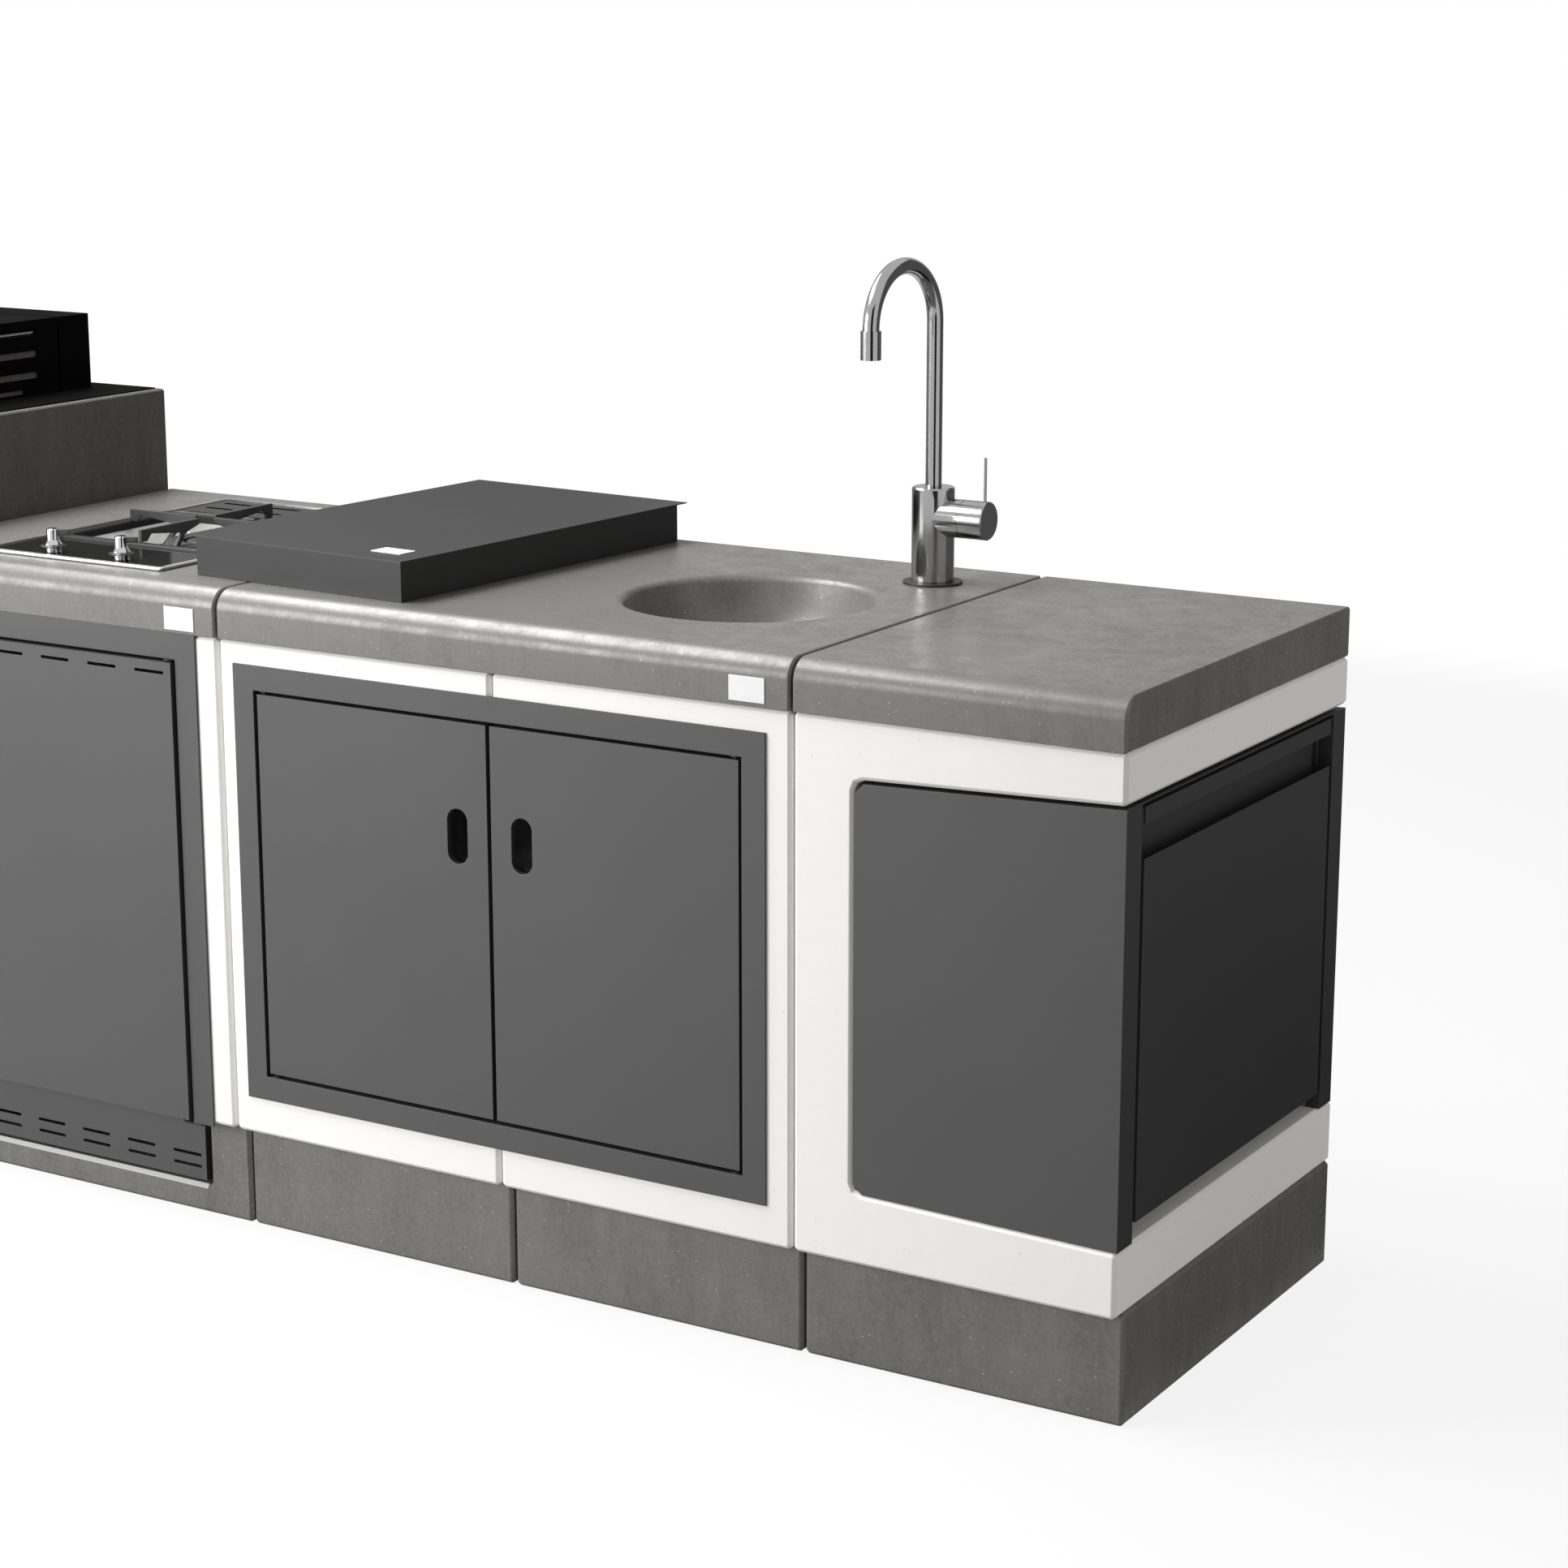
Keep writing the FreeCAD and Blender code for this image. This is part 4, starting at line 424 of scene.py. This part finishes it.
def powder_coat(name, colour, rough, gloss, edge_lightening, metal=0.0):
    """Powder coat on sheet steel: orange-peel relief, faint clouds, and paler edges that are partly wear and
    partly a painted highlight.
    """
    material, tree, shader = new_material(name)
    spot = place(tree)
    patches = cloud(tree, spot, "coat_patches")
    peel = cloud(tree, spot, "coat_peel")
    grit = cloud(tree, spot, "coat_grit")
    tone = sum_of(tree, (patches, peel), coat_tone_shares)
    body = toned(tree, tone, colour, coat_tints)
    # Paler edges: partly wear, partly a painted highlight along the edges
    edge = edge_mask(tree, coat_edge_radius, edge_lightening)
    body = mixed(tree, edge, body, tint(colour, coat_edge_wear_and_highlight_tint))
    relief = sum_of(tree, (peel, grit), coat_relief_shares)
    shine = spread(tree, tone, 0.0, 1.0, rough + coat_rough_step, rough - coat_rough_step)
    connect(tree, shader, body, shine, bumped(tree, relief, coat_depth))
    shader.inputs["Specular IOR Level"].default_value = gloss
    shader.inputs["Metallic"].default_value = metal
    return material


def bare_metal(name, colour, rough, stretch, depth, smear):
    """Bare metal: brushed or turned lines, and finger smears."""
    material, tree, shader = new_material(name)
    lines = cloud(tree, place(tree, stretch), "metal_lines")
    smears = cloud(tree, place(tree), "metal_smears")
    tone = sum_of(tree, (lines, smears), metal_tone_shares)
    body = toned(tree, tone, colour, metal_tints)
    low, high = metal_rough_shares
    brushed = spread(tree, lines, 0.0, 1.0, rough * low, rough * high)
    shine = calc(tree, "ADD", brushed, calc(tree, "MULTIPLY", smears, smear))
    connect(tree, shader, body, shine, bumped(tree, lines, depth))
    shader.inputs["Metallic"].default_value = 1.0
    return material


def rough_cast(name, colour, rough, metal, sand_pattern, depth):
    """Cast surface: sand-mould grain, with paler worn edges."""
    material, tree, shader = new_material(name)
    spot = place(tree)
    sand = cloud(tree, spot, sand_pattern)
    patches = cloud(tree, spot, "cast_patches")
    tone = sum_of(tree, (sand, patches), cast_tone_shares)
    body = toned(tree, tone, colour, cast_tints)
    edge = edge_mask(tree, cast_edge_radius, cast_edge_wear)
    body = mixed(tree, edge, body, tint(colour, cast_edge_tint))
    shine = spread(tree, tone, 0.0, 1.0, rough + cast_rough_step, rough - cast_rough_step)
    connect(tree, shader, body, shine, bumped(tree, sand, depth))
    shader.inputs["Metallic"].default_value = metal
    return material


def firebrick(name, colour):
    """Firebrick: open pores, pale and dark grains, patches of soot, and a dark tone that is partly soot and partly
    painted shade.
    """
    material, tree, shader = new_material(name)
    spot = place(tree)
    sand = cloud(tree, spot, "brick_sand")
    holes = grains(tree, spot, brick_pores, brick_pore_share)
    body = toned(tree, cloud(tree, spot, "brick_patches"), colour, brick_tints)
    body = marked(tree, body, holes, colour, brick_pore_mark)
    body = marked(tree, body, cloud(tree, spot, "brick_soot"), colour, soot_mark)
    relief = calc(tree, "SUBTRACT", calc(tree, "MULTIPLY", sand, brick_relief_share), holes)
    low, high = brick_rough_range
    shine = spread(tree, sand, 0.0, 1.0, low, high)
    connect(tree, shader, body, shine, bumped(tree, relief, brick_depth))
    return material


def moulded(name, colour, rough, grain_pattern, depth):
    """Moulded plastic, glass or enamel: fine grain and faint flow marks."""
    material, tree, shader = new_material(name)
    spot = place(tree)
    grain = cloud(tree, spot, grain_pattern)
    flow = cloud(tree, spot, "moulded_flow")
    body = toned(tree, flow, colour, moulded_tints)
    shine = spread(tree, flow, 0.0, 1.0, rough + moulded_rough_step, rough - moulded_rough_step)
    connect(tree, shader, body, shine, bumped(tree, grain, depth))
    return material


# Finishes of the record's slots, and those of the solids and new pieces that have their own
finishes = {
    "grey_concrete": concrete("cast_grey_concrete", (0.137, 0.134, 0.127), contrast=0.42, rough=0.36,
                              gloss=0.6, specks=0.3, pores=0.03, edge_lightening=0.5, warmth=0.6),
    "plinth_concrete": concrete("cast_base_concrete", (0.140, 0.138, 0.132), contrast=0.42, rough=0.45,
                                gloss=0.5, specks=0.22, pores=0.03, edge_lightening=0.4, warmth=0.6),
    "dark_concrete": concrete("cast_dark_concrete", (0.104, 0.102, 0.096), contrast=0.3, rough=0.7,
                              gloss=0.2, specks=0.05, pores=0.2, edge_lightening=0.5, warmth=0.3),
    "white_concrete": concrete("cast_white_concrete", (0.89, 0.878, 0.85), contrast=0.015, rough=0.6,
                               gloss=0.3, specks=0.0, pores=0.01, edge_lightening=0.2, warmth=0.0),
    "grey_steel": powder_coat("grey_powder_coat", (0.070, 0.070, 0.070), rough=0.5, gloss=0.35, edge_lightening=0.8,
                              metal=0.6),
    # The cover's strong edge lightening is mostly a painted highlight along its edges
    "cover_steel": powder_coat("dark_powder_coat", (0.027, 0.027, 0.027), rough=0.44, gloss=0.34, edge_lightening=2.4,
                               metal=0.3),
    "black_steel": powder_coat("black_heat_coat", (0.0028, 0.0028, 0.0028), rough=0.7, gloss=0.015,
                               edge_lightening=1.0),
    "hinge_steel": powder_coat("dark_hinge_coat", (0.03, 0.03, 0.03), rough=0.5, gloss=0.3, edge_lightening=1.0,
                               metal=0.4),
    "dark_chrome": powder_coat("dark_chrome_plate", (0.085, 0.083, 0.078), rough=0.3, gloss=0.3, edge_lightening=0.6,
                               metal=0.6),
    # Pale strips that are partly a trim and partly a painted highlight of the sloped notch edges
    "highlight_strip": powder_coat("pale_strip_painted_highlight", (0.50, 0.50, 0.49), rough=0.5, gloss=0.3, edge_lightening=0.3),
    "ridges": powder_coat("dark_enamel_border", (0.022, 0.022, 0.022), rough=0.34, gloss=0.15, edge_lightening=0.8),
    "galvanised_steel": bare_metal("brushed_sheet", (0.52, 0.52, 0.52), rough=0.36,
                                   stretch=(1.0, 1.0, 0.04), depth=0.00002, smear=0.1),
    "bright_steel": bare_metal("satin_sheet", (0.44, 0.44, 0.43), rough=0.46,
                               stretch=(0.04, 1.0, 1.0), depth=0.00001, smear=0.05),
    "rim_steel": bare_metal("satin_rim", (0.70, 0.70, 0.69), rough=0.3,
                            stretch=(0.04, 1.0, 1.0), depth=0.00001, smear=0.05),
    "polished_steel": bare_metal("polished_sheet", (0.42, 0.42, 0.41), rough=0.09,
                                 stretch=(0.05, 1.0, 1.0), depth=0.000001, smear=0.06),
    "chrome": bare_metal("chrome_plate", (0.58, 0.58, 0.59), rough=0.07,
                         stretch=(1.0, 1.0, 1.0), depth=0.000001, smear=0.05),
    "tap_steel": bare_metal("polished_tap", (0.38, 0.38, 0.38), rough=0.11,
                            stretch=(1.0, 1.0, 0.05), depth=0.000002, smear=0.04),
    "valve_brass": bare_metal("turned_brass", (0.72, 0.52, 0.24), rough=0.28,
                              stretch=(1.0, 1.0, 5.0), depth=0.00001, smear=0.1),
    "cast_iron": rough_cast("enamelled_iron", (0.026, 0.026, 0.026), rough=0.5, metal=0.0,
                            sand_pattern="iron_sand", depth=0.0002),
    "burner_alloy": rough_cast("cast_alloy", (0.45, 0.45, 0.44), rough=0.42, metal=1.0,
                               sand_pattern="alloy_sand", depth=0.00012),
    # The firebrick's dark tone is partly soot and partly painted shade of the closed firebox's inside
    "firebrick": firebrick("sooty_firebrick_painted_shade", (0.150, 0.133, 0.118)),
    "deck": moulded("black_glass_deck", (0.010, 0.010, 0.010), rough=0.1, grain_pattern="glass_grain",
                    depth=0.000001),
    "black_plastic": moulded("black_ring", (0.010, 0.010, 0.010), rough=0.5, grain_pattern="ring_grain",
                             depth=0.00001),
    "white_plastic": moulded("white_moulding", (0.72, 0.72, 0.70), rough=0.4, grain_pattern="plastic_grain",
                             depth=0.00002),
    "ceramic": moulded("white_ceramic", (0.42, 0.41, 0.39), rough=0.45, grain_pattern="ceramic_grain",
                       depth=0.00002),
    "plate": moulded("bare_plate_enamel", (0.84, 0.84, 0.84), rough=0.55, grain_pattern="plate_grain",
                     depth=0.000006),
}


def smooth_group():
    """Geometry nodes that shade a mesh smooth, but for its sharp edges."""
    group = bpy.data.node_groups.new("smooth_by_angle", "GeometryNodeTree")
    group.interface.new_socket("Geometry", in_out="INPUT", socket_type="NodeSocketGeometry")
    group.interface.new_socket("Geometry", in_out="OUTPUT", socket_type="NodeSocketGeometry")
    start = add(group, "NodeGroupInput")
    angle = add(group, "GeometryNodeInputMeshEdgeAngle").outputs["Unsigned Angle"]
    both = {0: angle, 1: smooth_angle}
    soft = add(group, "FunctionNodeCompare", both, data_type="FLOAT", operation="LESS_THAN")
    all_faces = {"Geometry": start.outputs[0], "Shade Smooth": True}
    faces = add(group, "GeometryNodeSetShadeSmooth", all_faces)
    soft_edges = {"Geometry": faces.outputs[0], "Shade Smooth": soft.outputs[0]}
    edges = add(group, "GeometryNodeSetShadeSmooth", soft_edges, domain="EDGE")
    add(group, "NodeGroupOutput", {0: edges.outputs[0]})
    return group


shading = smooth_group()


def soften(piece, width=0.0, flat=False):
    """Welds a mesh, rounds its edges and shades it smooth, with its flat faces kept flat."""
    weld = piece.modifiers.new("weld", "WELD")
    weld.merge_threshold = weld_reach
    if width:
        bevel = piece.modifiers.new("bevel", "BEVEL")
        bevel.width = width
        bevel.segments = bevel_steps
        bevel.limit_method = "ANGLE"
        bevel.angle_limit = smooth_angle
        bevel.use_clamp_overlap = False
        bevel.miter_outer = "MITER_ARC"
        bevel.harden_normals = False
    smooth = piece.modifiers.new("smooth", "NODES")
    smooth.node_group = shading
    if width or flat:
        weighted = piece.modifiers.new("weighted", "WEIGHTED_NORMAL")
        weighted.keep_sharp = True


def dress_solids():
    """Gives each solid its finish and its rounded edges."""
    slot_of = {part["node"]: part["material_slot"] for part in frame["record"]["subparts"]}
    for name, piece in nodes.items():
        finish = finishes[own_finish.get(name, slot_of[name])]
        if not piece.data.materials:
            piece.data.materials.append(finish)
        for index in range(len(piece.data.materials)):
            piece.data.materials[index] = finish
        soften(piece, bevel_of.get(name, 0.0))


def new_piece(name, mesh_code, finish, body, slot, *replaced):
    """New piece that rides on a body, with its finish and the solids that it stands for."""
    bmesh.ops.recalc_face_normals(mesh_code, faces=mesh_code.faces)
    mesh = bpy.data.meshes.new(name)
    mesh_code.to_mesh(mesh)
    mesh_code.free()
    mesh.materials.append(finishes[finish])
    piece = bpy.data.objects.new(name, mesh)
    bpy.context.scene.collection.objects.link(piece)
    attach(piece, body)
    if replaced:
        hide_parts(*replaced)
    return piece


def fresh_corners(mesh_code):
    """Corners of the faces that no earlier lathe call has marked."""
    return list({corner for face in mesh_code.faces if not face.tag for corner in face.verts})


def lathe(mesh_code, outline, centre):
    """Adds the solid that an outline of (radius, height) points makes about an upright axis."""
    points = [mesh_code.verts.new((radius, 0.0, height)) for radius, height in outline]
    lines = [mesh_code.edges.new(pair) for pair in zip(points, points[1:])]
    bmesh.ops.spin(mesh_code, geom=points + lines, cent=(0, 0, 0), axis=(0, 0, 1), angle=math.tau,
                   steps=lathe_steps)
    bmesh.ops.remove_doubles(mesh_code, verts=fresh_corners(mesh_code), dist=weld_reach)
    corners = fresh_corners(mesh_code)
    for face in mesh_code.faces:
        face.tag = True
    bmesh.ops.translate(mesh_code, verts=corners, vec=centre)
    return corners


def round_ring(mesh_code, low, high, radius, height):
    """Ring of points round a rectangle with round corners."""
    ring = []
    middles = ((high[0] - radius, low[1] + radius), (high[0] - radius, high[1] - radius),
               (low[0] + radius, high[1] - radius), (low[0] + radius, low[1] + radius))
    for corner, (x, y) in enumerate(middles, start=-1):
        for step in range(corner_steps + 1):
            angle = corner_angle * (corner + step / corner_steps)
            point = (x + radius * math.cos(angle), y + radius * math.sin(angle), height)
            ring.append(mesh_code.verts.new(point))
    return ring


def band(mesh_code, rings):
    """Faces between rings that follow each other."""
    for first, second in zip(rings, rings[1:]):
        for index, corner in enumerate(first):
            after = (index + 1) % len(first)
            mesh_code.faces.new((corner, first[after], second[after], second[index]))


def slab(mesh_code, low, high, rounding):
    """Adds a block with slightly rounded edges."""
    block = bmesh.ops.create_cube(mesh_code, size=1.0)["verts"]
    size = Vector(high) - Vector(low)
    middle = (Vector(high) + Vector(low)) / 2
    bmesh.ops.scale(mesh_code, verts=block, vec=size)
    bmesh.ops.translate(mesh_code, verts=block, vec=middle)
    edges = list({edge for corner in block for edge in corner.link_edges})
    rounded = bmesh.ops.bevel(mesh_code, geom=edges, offset=rounding, segments=bevel_steps, affect="EDGES",
                              profile=bevel_profile)
    fresh = {corner for face in rounded["faces"] for corner in face.verts}
    kept = {corner for corner in block if corner.is_valid}
    return list(fresh | kept)


def turn_corners(mesh_code, corners, centre, angle, axis="Z"):
    """Turns some corners about an axis through a point."""
    bmesh.ops.rotate(mesh_code, verts=corners, cent=centre, matrix=Matrix.Rotation(angle, 3, axis))


def add_front_plates():
    """Bare enamelled plates on the worktops' fronts."""
    half_x, half_z = plate_size[0] / 2, plate_size[1] / 2
    mesh_code = bmesh.new()
    for worktop, inset, drop in front_plates:
        low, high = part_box(worktop)
        x, z = high.x - inset, high.z - drop
        slab(mesh_code, (x - half_x, low.y - plate_depth, z - half_z), (x + half_x, low.y, z + half_z),
             plate_round)
    soften(new_piece("front_plates", mesh_code, "plate", "row", "white_plastic"), flat=True)


def add_cover_plate():
    """Bare enamelled plate on the loose cover, turned with it."""
    half_x, half_y = plate_size[0] / 2, plate_size[1] / 2
    x, y = cover_plate_middle
    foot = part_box("hob_cover")[1].z
    mesh_code = bmesh.new()
    corners = slab(mesh_code, (x - half_x, y - half_y, foot), (x + half_x, y + half_y, foot + plate_depth),
                   plate_round)
    turn_corners(mesh_code, corners, (x, y, foot), cover_turn)
    soften(new_piece("cover_plate", mesh_code, "plate", "loose_cover", "white_plastic"), flat=True)


def ring_outline():
    """Outline of the knob's ringed foot."""
    outline = [(0.0, 0.0)]
    for ring in range(knob_rings):
        low = ring * ring_pitch
        high = low + ring_pitch - 2 * ring_round
        outline += [(ring_groove, low), (ring_radius - ring_round, low), (ring_radius, low + ring_round),
                    (ring_radius, high - ring_round), (ring_radius - ring_round, high), (ring_groove, high)]
    top = knob_rings * ring_pitch + knob_lift
    return outline + [(ring_groove, top), (0.0, top)]


def add_knob(side, axis):
    """Knob with a ringed foot, a cone and a stem, and its thin dark skirt with a flat lever."""
    body = side + "_knob"
    x, y = axis
    centre = (x, y, hob_level + knob_lift)
    mesh_code = bmesh.new()
    lathe(mesh_code, ring_outline(), centre)
    lathe(mesh_code, stem_outline, centre)
    soften(new_piece("knob_stem_" + side, mesh_code, "chrome", body, "chrome", "hob_knob_" + side))
    mesh_code = bmesh.new()
    lathe(mesh_code, skirt_outline, centre)
    corners = slab(mesh_code, (x + lever_reach[0], y - lever_half, centre[2] + lever_heights[0]),
                   (x + lever_reach[1], y + lever_half, centre[2] + lever_heights[1]), ring_round)
    turn_corners(mesh_code, corners, centre, lever_turn)
    soften(new_piece("knob_skirt_" + side, mesh_code, "dark_chrome", body, "chrome"))


def add_knobs():
    """Both knobs, on the axes of their joints."""
    axis_of = {joint["child"]: joint["pos_m"][:2] for joint in frame["joints"] if "pos_m" in joint}
    for side in ("left", "right"):
        add_knob(side, axis_of[side + "_knob"])


def pan_ring(mesh_code, front, back, height):
    """Ring of the pan, so far outside its opening at the front and the sides, and so far at the back."""
    low = (opening_low[0] - front, opening_low[1] - front)
    high = (opening_low[0] + pan_opening[0] + front, opening_low[1] + pan_opening[1] + back)
    return round_ring(mesh_code, low, high, max(pan_round + front, pan_sheet), hob_level + height)


def add_pan():
    """Burner pan: a dark border of two ridges with a short wall, and a bright floor that slopes down."""
    mesh_code = bmesh.new()
    band(mesh_code, [pan_ring(mesh_code, offset, offset, height) for offset, height in border_outline])
    border = new_piece("pan_border", mesh_code, "ridges", "row", "polished_steel", "hob_burner_pan")
    mesh_code = bmesh.new()
    rings = [pan_ring(mesh_code, -inset, -back, height) for inset, back, height in well_outline]
    band(mesh_code, rings)
    mesh_code.faces.new(rings[-1])
    well = new_piece("pan_well", mesh_code, "bright_steel", "row", "polished_steel", "hob_burner_pan")
    for piece in (border, well):
        wall = piece.modifiers.new("wall", "SOLIDIFY")
        wall.thickness = pan_sheet
        wall.offset = -1.0
        soften(piece)


def add_seal():
    """Thin dark seal between the hob's rim and the worktop."""
    rim_low, rim_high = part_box("hob_rim")
    mesh_code = bmesh.new()
    rings = []
    for offset, height in seal_outline:
        low = (rim_low.x - offset, rim_low.y - offset)
        high = (rim_high.x + offset, rim_high.y + offset)
        rings.append(round_ring(mesh_code, low, high, rim_round + offset, rim_low.z + height))
    band(mesh_code, rings + rings[:1])
    soften(new_piece("rim_seal", mesh_code, "black_plastic", "row", "black_plastic"))


def add_highlight_strips():
    """Pale strips on the sloped edges of the notches in the base blocks: partly a trim, partly a painted
    highlight.
    """
    mesh_code = bmesh.new()
    for block in notched:
        low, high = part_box(block)
        middle = (low.x + high.x) / 2
        front, back = low.y, low.y + strip_run
        foot, top = strip_foot, strip_foot + strip_rise
        slope = ((front, foot), (back, top), (back - strip_depth, top + strip_depth),
                 (front - strip_depth, foot + strip_depth))
        ends = [[mesh_code.verts.new((x, y, z)) for y, z in slope]
                for x in (middle - strip_half, middle + strip_half)]
        band(mesh_code, ends)
        for end in ends:
            mesh_code.faces.new(end)
    soften(new_piece("notch_highlight_strips", mesh_code, "highlight_strip", "row", "galvanised_steel"), flat=True)


def add_screws():
    """Screw heads in the corners of the back panels."""
    mesh_code = bmesh.new()
    low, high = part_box("back_panels")
    middles = sorted((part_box(block)[0].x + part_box(block)[1].x) / 2 for block in notched)
    panel_half = (high.x - low.x - middles[1] + middles[0]) / 2
    reach = panel_half - screw_inset
    for middle in middles:
        for x in (middle - reach, middle + reach):
            for z in (low.z + screw_inset, high.z - screw_inset):
                corners = lathe(mesh_code, screw_outline, (x, high.y, z))
                turn_corners(mesh_code, corners, (x, high.y, z), -math.pi / 2, "X")
    soften(new_piece("back_screws", mesh_code, "galvanised_steel", "row", "galvanised_steel"))


def add_spark():
    """Spark electrode beside the burner."""
    low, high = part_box("hob_burner")
    foot = Vector(((low.x + high.x) / 2, (low.y + high.y) / 2, low.z)) + Vector(spark_offset)
    mesh_code = bmesh.new()
    lathe(mesh_code, spark_outline, foot)
    soften(new_piece("spark_electrode", mesh_code, "ceramic", "row", "white_plastic"))


def set_camera():
    """Camera of the photograph."""
    data = bpy.data.cameras.new("camera")
    data.lens = camera_lens
    data.sensor_width = camera_sensor
    camera = bpy.data.objects.new("camera", data)
    camera.location = camera_place
    camera.rotation_euler = (math.radians(camera_tilt), 0.0, math.radians(camera_turn))
    bpy.context.scene.collection.objects.link(camera)
    bpy.context.scene.camera = camera


def seen_directly(tree):
    """1 for what the camera sees directly, in a mirror or through glass, else 0."""
    path = add(tree, "ShaderNodeLightPath")
    both = calc(tree, "ADD", path.outputs["Is Camera Ray"], path.outputs["Is Glossy Ray"])
    return calc(tree, "ADD", both, path.outputs["Is Transmission Ray"], clamp=True)


def set_world():
    """White backdrop, with a weaker even light."""
    world = bpy.data.worlds.new("studio")
    world.use_nodes = True
    tree = world.node_tree
    tree.nodes.clear()
    strength = spread(tree, seen_directly(tree), 0.0, 1.0, sky_strength, 1.0)
    light = add(tree, "ShaderNodeBackground", {"Color": white, "Strength": strength})
    add(tree, "ShaderNodeOutputWorld", {"Surface": light.outputs[0]})
    bpy.context.scene.world = world


def softbox(name, spot, aim, size, power, mirrored=True):
    """Rectangular soft light, which polished metal may mirror or not."""
    data = bpy.data.lights.new(name, "AREA")
    data.shape = "RECTANGLE"
    data.size, data.size_y = size
    data.energy = power
    light = bpy.data.objects.new(name, data)
    light.location = spot
    light.visible_glossy = mirrored
    light.rotation_euler = (Vector(aim) - Vector(spot)).to_track_quat("-Z", "Y").to_euler()
    bpy.context.scene.collection.objects.link(light)


def staged_sheet(name, corners, material):
    """Flat sheet of the studio, which isn't part of the object."""
    mesh = bpy.data.meshes.new(name)
    mesh.from_pydata(corners, [], [tuple(range(len(corners)))])
    mesh.materials.append(material)
    sheet = bpy.data.objects.new(name, mesh)
    bpy.context.scene.collection.objects.link(sheet)
    return sheet


def floor_material():
    """Pale floor that keeps the object's shadow and turns to the white of the backdrop further out."""
    material, tree = empty_material("studio_floor")
    seen = seen_directly(tree)
    spot = add(tree, "ShaderNodeTexCoord").outputs["Object"]
    away = add(tree, "ShaderNodeVectorMath", {0: spot}, operation="LENGTH").outputs["Value"]
    direct = add(tree, "ShaderNodeLightPath").outputs["Is Camera Ray"]
    far = spread(tree, away, floor_near, floor_far)
    near = calc(tree, "MULTIPLY", direct, floor_glow)
    share = calc(tree, "MULTIPLY", calc(tree, "MAXIMUM", near, far), seen)
    matt = add(tree, "ShaderNodeBsdfDiffuse", {"Color": mixed(tree, seen, floor_bounce, floor_shown)})
    glow = add(tree, "ShaderNodeEmission", {"Color": white, "Strength": 1.0})
    both = add(tree, "ShaderNodeMixShader", {0: share, 1: matt.outputs[0], 2: glow.outputs[0]})
    add(tree, "ShaderNodeOutputMaterial", {"Surface": both.outputs[0]})
    return material


def set_floor():
    """Wide floor under the object."""
    half = floor_size / 2
    corners = [(-half, -half, 0), (half, -half, 0), (half, half, 0), (-half, half, 0)]
    staged_sheet("floor", corners, floor_material())


def add_card(name, corners, level):
    """Glowing card that only reflections show."""
    material, tree = empty_material(name)
    glow = add(tree, "ShaderNodeEmission", {"Color": white, "Strength": level})
    add(tree, "ShaderNodeOutputMaterial", {"Surface": glow.outputs[0]})
    card = staged_sheet(name, corners, material)
    card.visible_camera = False
    card.visible_diffuse = False
    card.visible_shadow = False
    card.visible_transmission = False


def set_cards():
    """Upright cards and a patch on the floor that give the polished metal its dark bands."""
    for name, (level, (x0, y0), (x1, y1)) in cards.items():
        add_card(name, [(x0, y0, 0), (x1, y1, 0), (x1, y1, card_height), (x0, y0, card_height)], level)
    add_card("floor_card", [(x, y, floor_card_lift) for x, y in floor_card_corners], floor_card_level)


dress_solids()
add_front_plates()
add_cover_plate()
add_knobs()
add_pan()
add_seal()
add_highlight_strips()
add_screws()
add_spark()
set_camera()
set_world()
softbox("key", key_place, key_aim, key_size, key_power)
softbox("fill", fill_place, fill_aim, fill_size, fill_power)
softbox("side", side_place, side_aim, side_size, side_power, mirrored=False)
set_floor()
set_cards()

bpy.context.scene.view_settings.view_transform = "Standard"
